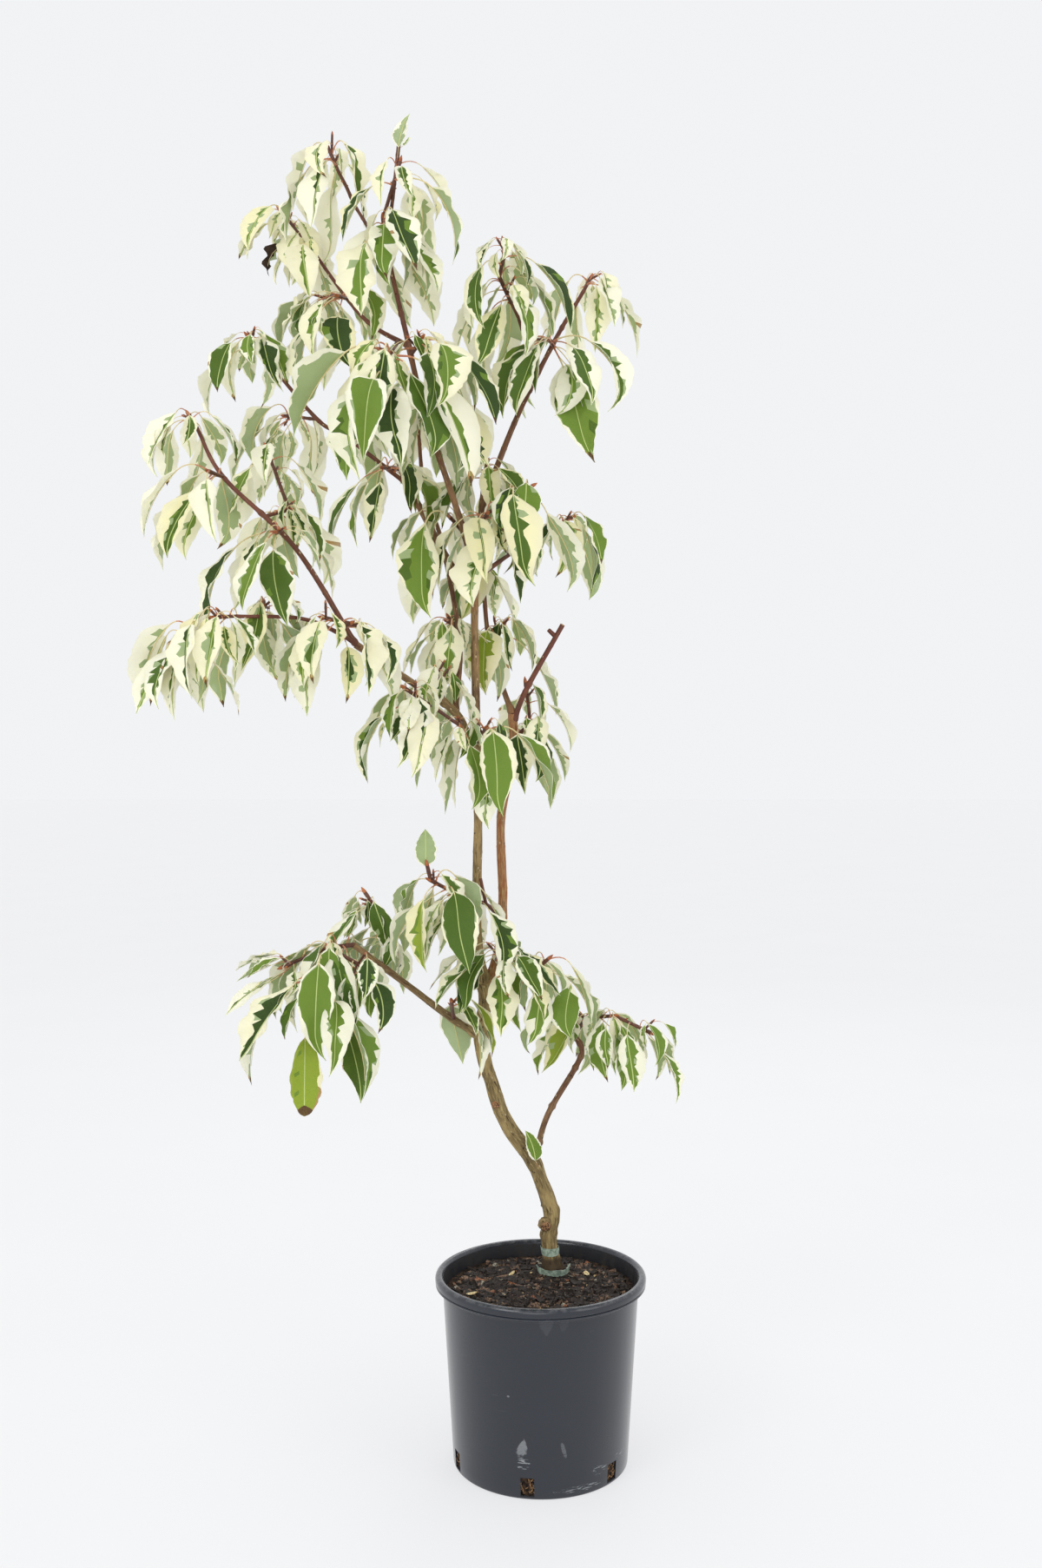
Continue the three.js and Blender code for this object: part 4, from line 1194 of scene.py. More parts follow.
def bark_relief(grain, depth, stretch=0.12):
    """Ridges along the limb, deeper where it is thick."""
    size = 3.2
    flat = grain.reshape(-1, 3) * (1 / size, 1 / size, stretch / size)
    ridges = np.array([noise.noise(Vector(place)) for place in flat])
    return (ridges * depth).reshape(grain.shape[:2])


def bumps(run, centres, height, width):
    """Rounded swellings along a limb."""
    total = np.zeros_like(run)
    for centre in centres:
        total = total + height * bell(run - centre, width)
    return total


def trunk_relief(grain, run, heights):
    """The trunk's roots and its swellings and hollows."""
    turn = np.arctan2(grain[..., 1], grain[..., 0])
    roots = np.cos(3 * turn + 1.1) + 0.5 * np.cos(5 * turn)
    total = ROOTS.out * roots * np.exp(-run / ROOTS.height)[:, None]
    for level, side, out, high, wide in TRUNK_FORM:
        off = np.degrees(turn) - side
        off = np.abs((off + 180) % 360 - 180)
        total = total + out * (bell(off, wide) * bell(heights - level, high)[:, None])
    return total


def put_limb(heap, key, name):
    """A limb, with a collar at its foot, and swollen at forks, knuckles and old leaves' scars."""
    line = LINES[name]
    parent, foot, _, _ = LIMBS[name]
    at_lengths, lengths = line.lengths()
    sides = SIDES.limb if parent else SIDES.trunk
    rings = int(lengths[-1] / LIMB_RING)
    run = np.linspace(0, lengths[-1], rings)
    at = np.interp(run, lengths, at_lengths)
    places = line.point(at)
    radii = limb_radius(name, at) * STOUT.get(name, 1)
    if parent:
        collar = limb_radius(parent, foot)
        radii = radii * (1 + COLLAR * bell(run - collar, 1.1 * collar))
    children = [row[1] for row in (*LIMBS.values(), *MASSES.values()) if row[0] == name]
    radii = radii * (1 + bumps(run, np.interp(children, at_lengths, lengths), *FORK))
    knuckles = np.interp(KNUCKLES.get(name, ()), at_lengths, lengths)
    radii = radii * (1 + bumps(run, knuckles, *KNUCKLE))
    spacing = SCAR_GAP.least + SCAR_GAP.by_radius * radii.mean()
    scars = np.arange(spacing, lengths[-1], spacing)
    scars = scars + SCAR_GAP.play * (chances((key, 1), 80, len(scars)) - 0.5)
    age, rust = (np.linspace(*ends, rings) for ends in BARK.get(name, YOUNG_BARK))

    def relief(grain, along):
        depth = (0.05 + 0.09 * age) * radii
        height = bark_relief(grain, np.repeat(depth, sides))
        height = height + bumps(along, scars, *LIMB_SCAR)[:, None]
        return height if parent else height + trunk_relief(grain, along, places[:, 2])

    skin, grain = barked(places, radii, sides, relief)
    skin, faces = close_ends(skin, rings, sides, places[0], places[-1])
    ends = np.array([[0, 0, 0], [0, 0, run[-1]]])
    slots = tube_slots([0] * (rings - 1), sides, 0, int(name == "cut_branch"))
    heap.put(
        skin, faces, slots, grain=np.vstack([grain, ends]) * MM + key * GRAIN_STEP.limb,
        age=by_place(age, sides), rust=by_place(rust, sides),
    )


def put_knob(heap, centre, radius, bare, rust, key):
    """A rough knob on the front of the trunk, with bare wood in its middle."""
    rows, sides = 16, 26
    polar = np.linspace(0.1, np.pi - 0.1, rows)[:, None, None]
    turn = circle(sides)[:, None]
    out = unit(np.array((0.12, -1, -0.3)))
    across = unit(np.cross(out, UP))
    aside = across * np.cos(turn) + np.cross(across, out) * np.sin(turn)
    ways = (out * np.cos(polar) + aside * np.sin(polar)).reshape(-1, 3)
    rough = [
        0.2 * noise.noise(Vector(way * 2 + key)) + 0.14 * noise.noise(Vector(way * 6 + key))
        for way in ways
    ]
    skin = centre + ways * radius * (1 + np.array(rough)[:, None])
    first, last = (centre + out * radius * way for way in (0.94, -1))
    places, faces = close_ends(skin, rows, sides, first, last)
    wood = int(bare * rows)
    slots = tube_slots([2] * wood + [0] * (rows - 1 - wood), sides, 2, 0)
    heap.put(
        places, faces, slots, grain=(places - centre) * MM + key * GRAIN_STEP.knob,
        age=np.full(len(places), 0.9), rust=by_place(np.linspace(rust, 0, rows), sides),
    )


def put_stub(heap, foot, end, radius, key):
    """A pruned stub of young bark: a short collar that ends in a cut face."""
    rings = 9
    sides = SIDES.limb
    share = np.linspace(0, 1, rings)[:, None]
    radii = radius * (1.15 - 0.15 * share[:, 0])
    radii[-1] *= 0.9
    path = foot + (end - foot) * share
    skin, grain = barked(path, radii, sides, lambda grain, _: bark_relief(grain, radius * 0.09, 0.5))
    places, faces = close_ends(skin, rings, sides, foot, end - (end - foot) * 0.06)
    heap.put(
        places, faces, tube_slots([0] * (rings - 1), sides, 0, 1),
        grain=np.vstack([grain, np.zeros((2, 3))]) * MM + key * GRAIN_STEP.knob,
        age=np.zeros(len(places)), rust=np.full(len(places), 0.15),
    )


def put_twig(heap, number, twig):
    """A twig, a little crooked, with rings where leaves stood, and a pointed bud at its end."""
    random = partial(chance, number, twig.index)
    length = twig.reach
    rings = max(6, int(length / TWIG.ring))
    share = np.linspace(0, 1, rings)
    foot = twig.line.point(0)
    normal, binormal = sides_along(twig.line.point(share * 0.999))
    crook = min(2.2, 0.02 * length)
    bend = crook * np.sin(np.pi * share) * np.sin(2 * np.pi * (share * length / 60 + random(81)))
    places = foot + (twig.end - foot) * share[:, None] + normal * bend[:, None]
    run = share * length
    scars = np.arange(10, length, TWIG.scar_gap) + 6 * random(82)
    radii = mix(*twig.radii, share) + bumps(run, scars, *TWIG_SCAR)
    if twig.leaves:
        radii = radii + 0.5 * smooth(run, length - LEAF.crowd, length)
        bud = twig.along * twig.bud
        places = np.vstack([places, *(twig.end + bud * far for far, _ in BUD_FORM)])
        radii = np.append(radii, [thick * twig.bud for _, thick in BUD_FORM])
    tip = [0] * (rings - 1) + [1] * (len(radii) - rings)
    tubes, faces = tube(places, radii, SIDES.twig)
    heap.put(tubes, faces, tube_slots(tip, SIDES.twig, 0, tip[-1]))
    for spur in range(int(length / TWIG.spur_gap)):
        place = places[int(rings * (0.2 + 0.6 * random(83, spur)))]
        turn = 2 * np.pi * random(84, spur)
        out = unit(normal[0] * math.cos(turn) + binormal[0] * math.sin(turn) + 0.8 * twig.along)
        path = place + out * mix(*TWIG.spur, random(85, spur)) * np.linspace(0, 1, 5)[:, None]
        tubes, faces = tube(path, SPUR_RADII, SIDES.spur)
        heap.put(tubes, faces, tube_slots([0, 0, 1, 1], SIDES.spur, 0, 1))


def nearest_pose(poses, place):
    middles = np.array([blade_rows(pose, 0.5)[0] for pose in poses])
    return poses[np.linalg.norm(middles - place, axis=1).argmin()]


def find_marked(poses):
    """The marks of the marked leaves, by their poses, which are changed as they ask."""
    marks = {}
    for mark, (place, changes) in MARKED.items():
        pose = nearest_pose(poses, place)
        marks[id(pose)] = mark
        for key, value in changes.items():
            setattr(pose, key, math.radians(value) if key in ANGLES else value)
        if "base" in changes:
            pose.base = np.array(pose.base, float)
            pose.bend = mix(pose.root, pose.base, 0.5) + 4 * UP
            pose.heading = unit(np.array(pose.heading, float))
    return marks


def trunk_leaf():
    """The one small leaf that stands up from the bark low on the trunk."""
    root, bend, base = np.array([(-3, 42, 338), (-2, 32, 341), (-6, 31, 348)], float)
    return SimpleNamespace(
        keys=(41, 0, 2), root=root, bend=bend, base=base, heading=unit(np.array((-1, 0.1, 0))), length=39,
        base_drop=math.radians(86), tip_drop=math.radians(56), half_width=9.5, roll=-1.3, twist=-0.15,
        fold=0.3,
    )


def dress_crown(crown):
    """The leaves, their stalks and the twigs, in place of the part's masses."""
    poses = [pose for twigs in crown.values() for twig in twigs for pose in twig.poses]
    marks = find_marked(poses)
    leaf_finishes = [leaf_finish(name, shade) for name, shade in LEAF_SHADES.items()]
    stalk_finishes = [
        shoot_finish("red_stalk", (176, 104, 78), (210, 150, 112)),
        shoot_finish("pale_stalk", (214, 192, 140), (230, 218, 170)),
    ]
    twig_finishes = [
        shoot_finish("red_twig", (76, 42, 32), (112, 68, 50)),
        shoot_finish("bud", (142, 72, 38), (186, 112, 64)),
    ]
    stalks = Heap()
    twigs = Heap()
    low_leaf = trunk_leaf()
    for part, names in zip(("top", "upper", "middle", "lower"), np.array_split(list(crown), 4)):
        leaves = Heap()
        for name in names:
            for twig in crown[name]:
                for pose in twig.poses:
                    put_leaf(leaves, pose, marks.get(id(pose), ""), PALER.get(name, 0))
        if part == "lower":
            put_leaf(leaves, low_leaf, "low", 0)
        blades = piece(f"leaves_{part}", leaves, leaf_finishes, 75)
        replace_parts(blades, *names)
    put_stalk(stalks, low_leaf, "low")
    for number, mass in enumerate(crown):
        for twig in crown[mass]:
            put_twig(twigs, number, twig)
            for pose in twig.poses:
                put_stalk(stalks, pose, marks.get(id(pose), ""))
    piece("leaf_stalks", stalks, stalk_finishes)
    piece("twigs", twigs, twig_finishes)


def dress_limbs():
    """The trunk, its stubs and the boughs, with the bark's relief, in place of the part's limbs."""
    bark = Heap()
    for key, name in enumerate(LIMBS):
        put_limb(bark, key, name)
    for key, (centre, radius, bare, rust) in enumerate(KNOBS):
        put_knob(bark, np.array(centre), radius, bare, rust, key + 1)
    stub_foot = LINES["cut_branch"].point(1.82)
    put_stub(bark, stub_foot, stub_foot + (-9, 1, 9), 2.6, 3)
    limbs = piece("bark", bark, [
        bark_finish(),
        bare_wood_finish("cut_wood", (158, 116, 76), (214, 186, 142), 0.4),
        bare_wood_finish("knob_wood", (76, 48, 30), (178, 134, 92), 1.2),
    ])
    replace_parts(limbs, *LIMBS)


# The pot.
POT_SEGMENTS = 120
# The bends of its neck and its rim, as steps out and up from the neck, from the rim's radius at the
# neck's height, and from the rim's top.
NECK_BENDS = [(0, -4), (0.9, -3.2), (1.2, -1.2), (0.5, 0)]
RIM_BENDS = [(-5, 0.3), (-1.6, 0.8), (-0.5, 1.8), (-0.6, 3), (-1.5, 3.7), (-1.5, 4.2), (-0.2, 4.9)]
TOP_BENDS = [
    (0, -6), (-0.1, -4.5), (-0.9, -2.2), (-2.6, -0.6), (-4.6, 0), (-6.6, -0.4), (-8.2, -1.6), (-9.4, -4.5),
]


def pot_profile():
    """Radii and heights of the pot, from under its foot, up the outside and down the inside."""
    p = POT

    def wall(share, inwards=0):
        return mix(p.base_radius, p.neck_radius, share) - inwards, mix(p.corner, p.neck_height, share)

    points = [(0, 1.2), (p.base_radius - 9, 1.2), (p.base_radius - 8, 0), (p.base_radius - p.corner, 0)]
    for turn in np.radians((-60, -30, 0)):
        out, up = p.corner * (np.cos(turn) - 1), p.corner * (1 + np.sin(turn))
        points.append((p.base_radius + out, up))
    points += [wall(share) for share in (0.05, 0.12, 0.25, 0.4, 0.55, 0.7, 0.85, 0.94)]
    for radius, height, bends in [
        (p.neck_radius, p.neck_height, NECK_BENDS), (p.rim_radius, p.neck_height, RIM_BENDS),
        (p.rim_radius, p.height, TOP_BENDS),
    ]:
        points += [(radius + out, height + up) for out, up in bends]
    points.append((p.neck_radius - p.wall, p.neck_height - 4))
    points += [wall(share, p.wall) for share in (0.8, 0.5, 0.2)]
    points += [(p.base_radius - p.wall, p.floor + 1), (p.base_radius - 2 * p.wall, p.floor), (0, p.floor)]
    return points


def slot_ways(number):
    """The directions out through a drainage slot and along the wall beside it."""
    turn = math.radians(SLOT.first_angle + 360 * (number % SLOT.count) / SLOT.count)
    out = np.array((math.cos(turn), math.sin(turn), 0))
    return out, np.cross(UP, out)


BLOCK_FACES = [[3, 2, 1, 0], [4, 5, 6, 7], [0, 1, 5, 4], [1, 2, 6, 5], [2, 3, 7, 6], [3, 0, 4, 7]]


def put_slot(heap, number):
    """The block that cuts one drainage slot, from inside the wall to outside it."""
    out, side = slot_ways(number)
    inner, outer = POT.base_radius - 12, POT.base_radius + 8
    half = SLOT.width / 2
    flat = [(inner, -half), (outer, -half), (outer, half), (inner, half)]
    heap.put([out * x + side * y + UP * z for z in (SLOT.low, SLOT.high) for x, y in flat], BLOCK_FACES)


def settled(obj):
    """The mesh that an object's modifiers make."""
    graph = bpy.context.evaluated_depsgraph_get()
    graph.update()
    return bpy.data.meshes.new_from_object(obj.evaluated_get(graph), depsgraph=graph)


def drop(obj):
    """Takes a helper and its mesh out of the scene."""
    mesh = obj.data
    bpy.data.objects.remove(obj)
    bpy.data.meshes.remove(mesh)


def dress_pot():
    """The pot's shell, in place of the part's pot."""
    shell = Heap()
    shell.put(*turned(pot_profile(), POT_SEGMENTS))
    slots = Heap()
    for number in range(SLOT.count):
        put_slot(slots, number)
    blank = stand_in("pot_blank", shell)
    cutter = stand_in("slot_blocks", slots)
    carve = blank.modifiers.new("slots", "BOOLEAN")
    carve.operation = "DIFFERENCE"
    carve.solver = "EXACT"
    carve.object = cutter
    mesh = settled(blank)
    drop(blank)
    drop(cutter)
    mesh.name = "pot_shell"
    mesh.materials.clear()
    mesh.materials.append(pot_finish())
    mesh.materials.append(inner_wall_finish())
    mesh.polygons.foreach_set("material_index", [int(faces_inward(face)) for face in mesh.polygons])
    soften(mesh, 35)
    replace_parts(keep("pot_shell", mesh), "pot")


def faces_inward(face):
    """Whether a face of the pot is on the inside of its wall, below the rim."""
    x, y, z = face.center
    return z < (POT.height - 5) * MM and face.normal.x * x + face.normal.y * y < -0.5 * math.hypot(x, y)


# Pale scuffs on the front of the pot: x and z of the middle, half width and half height, how far it
# leans over to the right, how much narrower it is at the top than the bottom, how pale it is, and
# whether it is scribbled in fine lines.
SCUFFS = [
    ((-22, 61), (5, 12), 0.2, 0.85, 0.6, False),
    ((-21, 42), (8, 8), 0, 0, 0.9, True),
    ((25, 57), (2.4, 10), -0.25, 0, 0.28, False),
    ((66, 25), (9, 6), 0, 0, 0.9, True),
    ((93, 30), (8, 3), 0, 0, 0.8, True),
    ((5, 201), (7, 12), 0, -0.8, 0.07, False),
    ((25, 202), (5, 8), 0.2, -0.5, 0.04, False),
    ((-38, 118), (1.6, 1.2), 0, 0, 0.5, False),
    ((42, 9), (28, 4), 0.3, 0, 0.7, True),
]


def pot_finish():
    """Black moulded plastic, glossy, with soft flow marks, fine scratches and pale scuffs."""
    finish = Finish("pot_plastic", {
        "Specular IOR Level": 0.62, "Sheen Weight": 0.22, "Sheen Roughness": 0.42,
    })
    place = finish.places()
    x, y, z = (finish.axis(name) for name in "XYZ")
    flow = finish.cloud(finish.places((1, 1, 0.08)), 34, 2)
    blotches = finish.cloud(place, 60, 3)
    grain = finish.cloud(place, 1.4, 2)
    level = finish.cloud(finish.places((0.25, 0.25, 6)), 9, 4, 0.65)
    scratches = finish.rise(level, 0.66, 0.74) * finish.rise(finish.cloud(place, 30, 2), 0.5, 0.62)
    uneven = 1.8 * finish.cloud(place, 5, 4, 0.6) - 0.9
    lines = finish.rise(finish.cloud(finish.places((0.4, 0.4, 3.5)), 5, 3, 0.6), 0.52, 0.6)
    scuffs = 0
    for (middle, height), (half_width, half_height), lean, taper, paleness, scribbled in SCUFFS:
        up = (z - height) * (1 / half_height)
        across = (x - middle - up * (lean * half_height)) * (1 / half_width)
        across = across.math("DIVIDE", 1.05 - up * taper)
        near = (1 - finish.rise(across * across + up * up + uneven, 0.5, 1.1)) * paleness
        if scribbled:
            near = near * lines
        scuffs = near.math("MAXIMUM", scuffs)
    rubbed = finish.cloud(finish.places((1, 1, 2.4)), 3.4, 5, 0.75)
    scuffs = scuffs * finish.rise(rubbed, 0.22, 0.5) * finish.rise(-y, 40, 60)
    specks = 1 - finish.rise(finish.cells(place, 34), 0.022, 0.034)
    chafed = finish.rise(finish.cloud(place, 7, 3), 0.4, 0.65)
    edge = finish.rise(z, POT.height - 4.5, POT.height - 0.8) * chafed
    shade = finish.layered(
        finish.tint(blotches, (20, 26, 37), (26, 32, 43)),
        (scratches * 0.3, (118, 121, 125)),
        (scuffs * 0.8, (158, 161, 164)),
        (edge * 0.3, (116, 117, 120)),
        (specks, (12, 13, 15)),
    )
    roughness = 0.15 + 0.05 * blotches + 0.05 * flow + 0.3 * scuffs + 0.1 * edge
    finish.surface(Base_Color=shade, Roughness=roughness)
    return finish.relief(flow * 0.9 + grain * 0.06 - scratches * 0.05, 0.22)


def inner_wall_finish():
    """The inside of the pot: duller, with dried soil on it."""
    finish = Finish("pot_inside", {"Specular IOR Level": 0.35})
    soiled = finish.rise(finish.cloud(finish.places((1, 1, 0.4)), 12, 4), 0.45, 0.7)
    shade = finish.tint(soiled * 0.4, (31, 32, 36), (56, 49, 42))
    finish.surface(Base_Color=shade, Roughness=0.5 + 0.3 * soiled)
    return finish.relief(finish.cloud(finish.places(), 3, 3), 0.3)


# The soil: a lumpy fill, with bark chips strewn on it by a node tree.
SOIL_SIDES = 96
SOIL_MIDDLE = SOIL_TOP - 3.5


def soil_finish():
    """Dark, moist, crumbly soil."""
    finish = Finish("soil", {"Specular IOR Level": 0.2})
    lumps = finish.cloud(finish.places(), 5, 6, 0.65)
    fibres = finish.cells(finish.places((1, 1, 0.4)), 3.4)
    shade = finish.blend(lumps, 0.38, 0.66, (19, 14, 11), (78, 60, 46))
    shade = finish.tint(finish.rise(fibres, 0.45, 0.9) * 0.5, shade, (18, 13, 10))
    finish.surface(Base_Color=shade, Roughness=0.8 + 0.15 * lumps)
    return finish.relief(lumps - fibres * 0.4, 2.2)


def chip_finish(name, dark, light):
    """Bark, straw or root, with fibres along it."""
    finish = Finish(name, {"Specular IOR Level": 0.3})
    fibres = finish.cloud(finish.places((1, 0.35, 1)), 1.6, 4)
    shade = finish.blend(fibres, 0.35, 0.65, dark, light)
    finish.surface(Base_Color=shade, Roughness=0.6 + 0.25 * finish.cloud(finish.places(), 2, 2))
    return finish.relief(fibres, 0.6)


def soil_surface():
    """A disc of soil, lumpy, that meets the pot's wall, and rises a little round the trunk."""
    p = POT
    inside = mix(p.base_radius, p.neck_radius, (SOIL_TOP - p.floor) / (p.neck_height - p.floor)) - p.wall
    edge = inside - 0.5
    rings = np.linspace(0, edge, 40)[1:]
    turn = circle(SOIL_SIDES)
    x = rings[:, None] * np.cos(turn)
    y = rings[:, None] * np.sin(turn)
    lumps = np.array([
        3.2 * noise.noise(Vector((a / 22, b / 22, 3))) + 1.6 * noise.noise(Vector((a / 6, b / 6, 9)))
        for a, b in zip(x.ravel(), y.ravel())
    ]).reshape(x.shape)
    foot = LINES["trunk"].point(0)
    mound = 2.5 * np.exp(-((x - foot[0]) ** 2 + (y - foot[1]) ** 2) / 30**2)
    z = SOIL_MIDDLE + mound + y / 60 + lumps * smooth(edge - rings, -3, 8)[:, None]
    return np.stack([x, y, z], axis=2)


def dress_soil():
    """The fill, its chips and its litter, in place of the part's soil."""
    surface = soil_surface()
    rings = surface[::-1]
    floor = POT.floor + 0.5
    low = (POT.base_radius - POT.wall - 0.6) / rings[0, :, :2].max() * rings[0]
    low[:, 2] = floor
    skin = np.vstack([low[None], rings]).reshape(-1, 3)
    fill = Heap()
    fill.put(*close_ends(skin, len(rings) + 1, SOIL_SIDES, (0, 0, floor), (0, 0, SOIL_MIDDLE)))
    soil = piece("soil_fill", fill, [soil_finish()], 60)
    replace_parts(soil, "soil")
    top = Heap()
    inner = surface[:-4].reshape(-1, 3) + (0, 0, 0.4)
    top.put(inner, grid_faces(len(surface) - 4, SOIL_SIDES))
    ground = stand_in("chip_ground", top)
    for number, (name, dark, light, spread, size) in enumerate(CHIPS):
        keep(name, strewn(ground, name, chip_finish(name, dark, light), spread, size, number + 3))
    drop(ground)
    dress_litter()


# Bits that lie on the soil: x and y, length, width, and how far it is turned to the left, in degrees.
LITTER = [
    (-10, 45, 12, 4, 70), (57, 39, 11, 7, 95), (-35, 39, 13, 4.5, 60), (-82, -26, 13, 6, 10),
    (38, -92, 9, 4, 20),
]
FIBRES = 46  # root fibres in each drainage slot


def dress_litter():
    """Pale bits on the soil, and the root fibres that show in the drainage slots."""
    bits = Heap()
    sides = 8
    turn = circle(sides)[:, None]
    share = np.linspace(-0.98, 0.98, 9)[:, None, None]
    for x, y, length, width, angle in LITTER:
        angle = math.radians(angle)
        along = np.array((math.cos(angle), math.sin(angle), 0.12))
        across = np.array((-math.sin(angle), math.cos(angle), 0.1))
        middle = np.array((x, y, SOIL_TOP + 1.5 + y / 60))
        ring = across * np.cos(turn) * width / 2 + UP * np.sin(turn) * 0.9
        skin = middle + along * share * length / 2 + ring * np.sqrt(1 - share**2) + UP * 0.8 * share**2
        ends = middle - along * length / 2, middle + along * length / 2
        bits.put(*close_ends(skin.reshape(-1, 3), len(share), sides, *ends))
    piece("litter", bits, [chip_finish("litter_bits", (176, 146, 92), (226, 212, 170))], 60)
    fibres = Heap()
    steps = np.linspace(-1, 1, 5)[:, None]
    for number in range(SLOT.count * FIBRES):
        draw = chances((number, 5), 95, 7)
        out, side = slot_ways(number)
        aside = (draw[0] - 0.5) * SLOT.width
        height = mix(SLOT.low + 3, SLOT.high - 2, draw[1])
        reach = POT.base_radius - POT.wall - 1 + 3 * draw[2] ** 3
        middle = out * reach + side * aside + UP * height
        way = unit(side * (draw[3] - 0.5) + UP * (draw[4] - 0.5) + out * 0.3 * (draw[5] - 0.5))
        places = middle + way * steps * mix(2.5, 5.5, draw[6]) - out * 1.4 * steps**2
        fibres.put(*tube(places, [0.25, 0.55, 0.6, 0.5, 0.2], 5))
    piece("root_fibres", fibres, [chip_finish("fibre", (70, 50, 34), (158, 122, 84))], 60)


# Bark chips and straws: colours, how many to a square metre, and size in mm.
CHIPS = [
    ("chips_dark", (15, 12, 10), (54, 44, 38), 23000, (18, 7, 3)),
    ("chips_brown", (42, 31, 25), (132, 105, 84), 12500, (15, 5, 2.4)),
    ("chips_grey", (84, 78, 68), (172, 166, 148), 1800, (10, 5, 3)),
    ("chips_rust", (84, 50, 34), (154, 102, 70), 900, (15, 5, 2.4)),
    ("chips_straw", (160, 128, 84), (214, 190, 142), 800, (17, 2.4, 1)),
]


def strewn(ground, name, finish, spread, size, seed):
    """Chips strewn over the ground by a node tree, as a plain mesh."""
    modifier = ground.modifiers.new("chips", "NODES")
    modifier.node_group = chip_tree()
    length, width, thick = (v * MM for v in size)
    values = {
        "Chips per m2": spread, "Length": length, "Width": width, "Thickness": thick,
        "Seed": seed, "Material": finish,
    }
    for item in modifier.node_group.interface.items_tree:
        if item.in_out == "INPUT" and item.name in values:
            modifier[item.identifier] = values[item.name]
    mesh = settled(ground)
    ground.modifiers.clear()
    mesh.name = name
    soften(mesh, 30)
    return mesh


def chip_tree():
    """Scatters flattened, roughened blocks over a surface, each turned and sized by chance."""
    tree = bpy.data.node_groups.new("bark_chips", "GeometryNodeTree")
    for label, kind in [
        ("Geometry", "Geometry"), ("Chips per m2", "Float"), ("Length", "Float"), ("Width", "Float"),
        ("Thickness", "Float"), ("Seed", "Int"), ("Material", "Material"),
    ]:
        tree.interface.new_socket(label, in_out="INPUT", socket_type=f"NodeSocket{kind}")
    tree.interface.new_socket("Geometry", in_out="OUTPUT", socket_type="NodeSocketGeometry")
    given = tree.nodes.new("NodeGroupInput").outputs

    def add(kind, settings, inputs, output=0):
        return add_node(tree, kind, settings, inputs, output)

    def random(low, high):
        inputs = {"Min": low, "Max": high, "Seed": given["Seed"]}
        return add("FunctionNodeRandomValue", {"data_type": "FLOAT_VECTOR"}, inputs, "Value")

    size = add("ShaderNodeCombineXYZ", {}, {
        0: given["Length"], 1: given["Width"], 2: given["Thickness"],
    })
    block = add("GeometryNodeMeshCube", {}, {
        "Size": size, "Vertices X": 4, "Vertices Y": 3, "Vertices Z": 2,
    })
    points = add("GeometryNodeDistributePointsOnFaces", {}, {
        "Mesh": given["Geometry"], "Density": given["Chips per m2"], "Seed": given["Seed"],
    })
    turn = random((-0.42, -0.3, 0), (0.42, 0.3, 6.28))
    scale = random((0.35, 0.45, 0.6), (1.25, 1.35, 1.5))
    rotation = add("FunctionNodeEulerToRotation", {}, {0: turn})
    scattered = add("GeometryNodeInstanceOnPoints", {}, {
        "Points": points, "Instance": block, "Rotation": rotation, "Scale": scale,
    })
    real = add("GeometryNodeRealizeInstances", {}, {"Geometry": scattered})
    rough = add("ShaderNodeTexNoise", {}, {"Scale": 260.0, "Detail": 2.0}, "Color")
    centred = add("ShaderNodeVectorMath", {"operation": "SUBTRACT"}, {0: rough, 1: (0.5, 0.5, 0.5)})
    offset = add("ShaderNodeVectorMath", {"operation": "SCALE"}, {0: centred, "Scale": 0.006})
    shaken = add("GeometryNodeSetPosition", {}, {"Geometry": real, "Offset": offset})
    done = add("GeometryNodeSetMaterial", {}, {"Geometry": shaken, "Material": given["Material"]})
    tree.links.new(done, tree.nodes.new("NodeGroupOutput").inputs[0])
    return tree


# The grafting tape.
def tape_finish():
    """Thin blue-green plastic tape, cloudy."""
    sockets = {"Specular IOR Level": 0.5, "IOR": 1.45}
    shades = (112, 130, 116), (172, 188, 170)
    return clouded_finish("grafting_tape", sockets, (6, 5, 0.65), (0.38, 0.6), shades, (0.3, 0.25), 0.8)


def put_strip(heap, low, high, thick):
    """A thin closed strip between two edges."""
    middle = (low + high) / 2
    along = unit(np.gradient(middle, axis=0))
    out = unit(np.cross(along, high - low)) * thick / 2
    skin = np.stack([low + out, high + out, high - out, low - out], axis=1).reshape(-1, 3)
    heap.put(*close_ends(skin, len(low), 4, middle[0], middle[-1]))


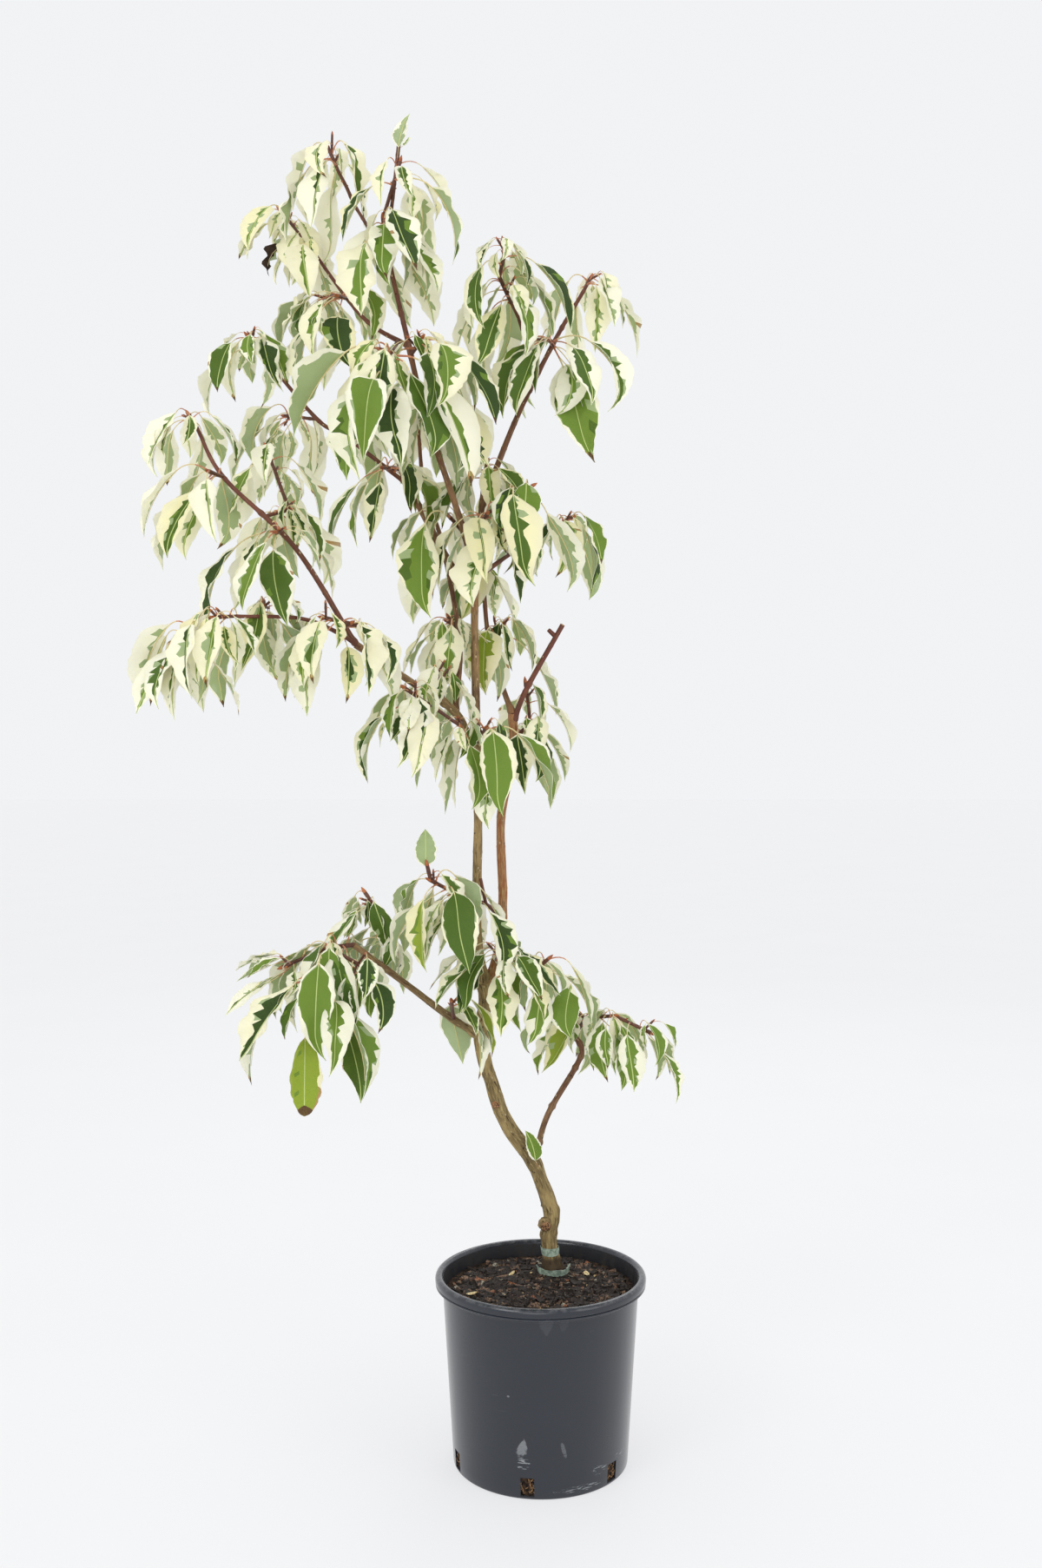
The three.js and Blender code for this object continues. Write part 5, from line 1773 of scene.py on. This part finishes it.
def dress_tape():
    """The tape wound round the trunk and its loose loop, in place of the part's band and loop."""
    trunk = LINES["trunk"]
    at_heights = np.linspace(0, 1, 60)
    heights = trunk.point(at_heights)[:, 2]

    def wound(turn, height, gap):
        at = np.interp(height, heights, at_heights)
        radius = limb_radius("trunk", at) + gap
        return trunk.point(at) + round_axis(radius, turn, 0)

    wraps = 3.3
    share = np.linspace(0, 1, 130)
    turn = 2 * np.pi * wraps * share
    half = 3
    height = mix(TAPE.low + 2 + half, TAPE.high + 1 - half, share) + 0.7 * np.sin(turn * 0.9)
    gap = -0.3 + 0.28 * wraps * share + 0.2 * np.sin(3.1 * turn)
    band = Heap()
    put_strip(band, wound(turn, height - half, gap), wound(turn, height + half, gap + 0.2), 0.3)
    finish = tape_finish()
    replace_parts(piece("tape_wraps", band, [finish], 40), "tape_band")

    foot = trunk.point(0)
    loosened = np.linspace(0, 1.12, 90)
    turn = 2 * np.pi * loosened - 0.5
    radius = 0.92 * TAPE.loop_radius + 0.8 * np.sin(2 * turn + 1) + 1.1 * (loosened - 0.5)
    rim = radius + 0.7 * TAPE.loop_flare * (0.7 + 0.3 * np.sin(3 * turn))
    buried = 9 * smooth(np.sin(turn), 0.1, 0.8)
    low_height = SOIL_TOP + 0.9 + 0.6 * np.sin(2 * turn) - buried
    high_height = low_height + TAPE.loop_height * (0.84 + 0.05 * np.sin(5 * turn + 2))

    def ring(radius, height):
        return np.stack([
            foot[0] + 1 + radius * np.cos(turn), foot[1] - 8 + 1.12 * radius * np.sin(turn), height,
        ], axis=1)

    loop = Heap()
    put_strip(loop, ring(radius, low_height), ring(rim, high_height), 0.45)
    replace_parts(piece("tape_loose", loop, [finish], 40), "tape_loop")


# The studio: a pale floor and sky, soft lights, and the camera. Each lamp is a disc: its place and
# target and its size across, in metres, and its power, in watts.
FLOOR_HALF = 30 * METRE
LAMPS = {
    "window": ((-1.9, -2.3, 2.5), (0, 0, 0.9), 1.6, 23),
    "fill": ((2.2, -1.6, 1.8), (0, 0, 0.8), 1.8, 11),
    "back": ((0.6, 2.4, 2.6), (0, 0, 0.9), 1.6, 12),
    "low": ((-0.4, -2.9, 1.2), (-0.1, 0, 0.9), 1.6, 9.5),
}


def stage_floor():
    """White paper, that glows a little so that it runs into the sky."""
    h = FLOOR_HALF
    paper = Heap()
    paper.put([(-h, -h, 0), (h, -h, 0), (h, h, 0), (-h, h, 0)], [[0, 1, 2, 3]])
    floor = stand_in("floor", paper)
    finish = Finish("floor_paper", {
        "Roughness": 0.9, "Specular IOR Level": 0.1,
        "Emission Color": colour(239, 239, 240.5), "Emission Strength": 0.685,
    })
    clouds = finish.cloud(finish.places(), 400, 2)
    finish.surface(Base_Color=finish.tint(clouds, (145, 146, 146), (149, 150, 150)))
    floor.data.materials.append(finish.material)


def aim(obj, place, target):
    """Points a lamp or camera at a target: at a place in metres, looking along its own -Z."""
    obj.location = place
    obj.rotation_euler = (Vector(target) - Vector(place)).to_track_quat("-Z", "Y").to_euler()


def light_studio():
    """A pale sky and the lamps."""
    world = bpy.data.worlds.new("studio")
    world.use_nodes = True
    sky = world.node_tree.nodes["Background"]
    sky.inputs["Color"].default_value = colour(240, 241, 243)
    sky.inputs["Strength"].default_value = 1.015
    bpy.context.scene.world = world
    for name, (place, target, size, power) in LAMPS.items():
        lamp = bpy.data.lights.new(name, "AREA")
        lamp.shape = "DISK"
        lamp.size = size
        lamp.energy = power
        aim(link(name, lamp), place, target)


def set_camera():
    """The photograph's camera, level and facing the back."""
    camera = bpy.data.cameras.new("camera")
    camera.sensor_width = PHOTO.film
    camera.lens = PHOTO.film * PHOTO.focal / PHOTO.height
    camera.shift_y = -PHOTO.horizon_above_middle / PHOTO.height
    obj = link("camera", camera)
    aim(obj, EYE, (EYE[0], 0, EYE[2]))
    bpy.context.scene.camera = obj
    bpy.context.scene.view_settings.view_transform = "Standard"


set_camera()
light_studio()
stage_floor()
dress_pot()
dress_soil()
dress_tape()
dress_limbs()
dress_crown(grow_crown())
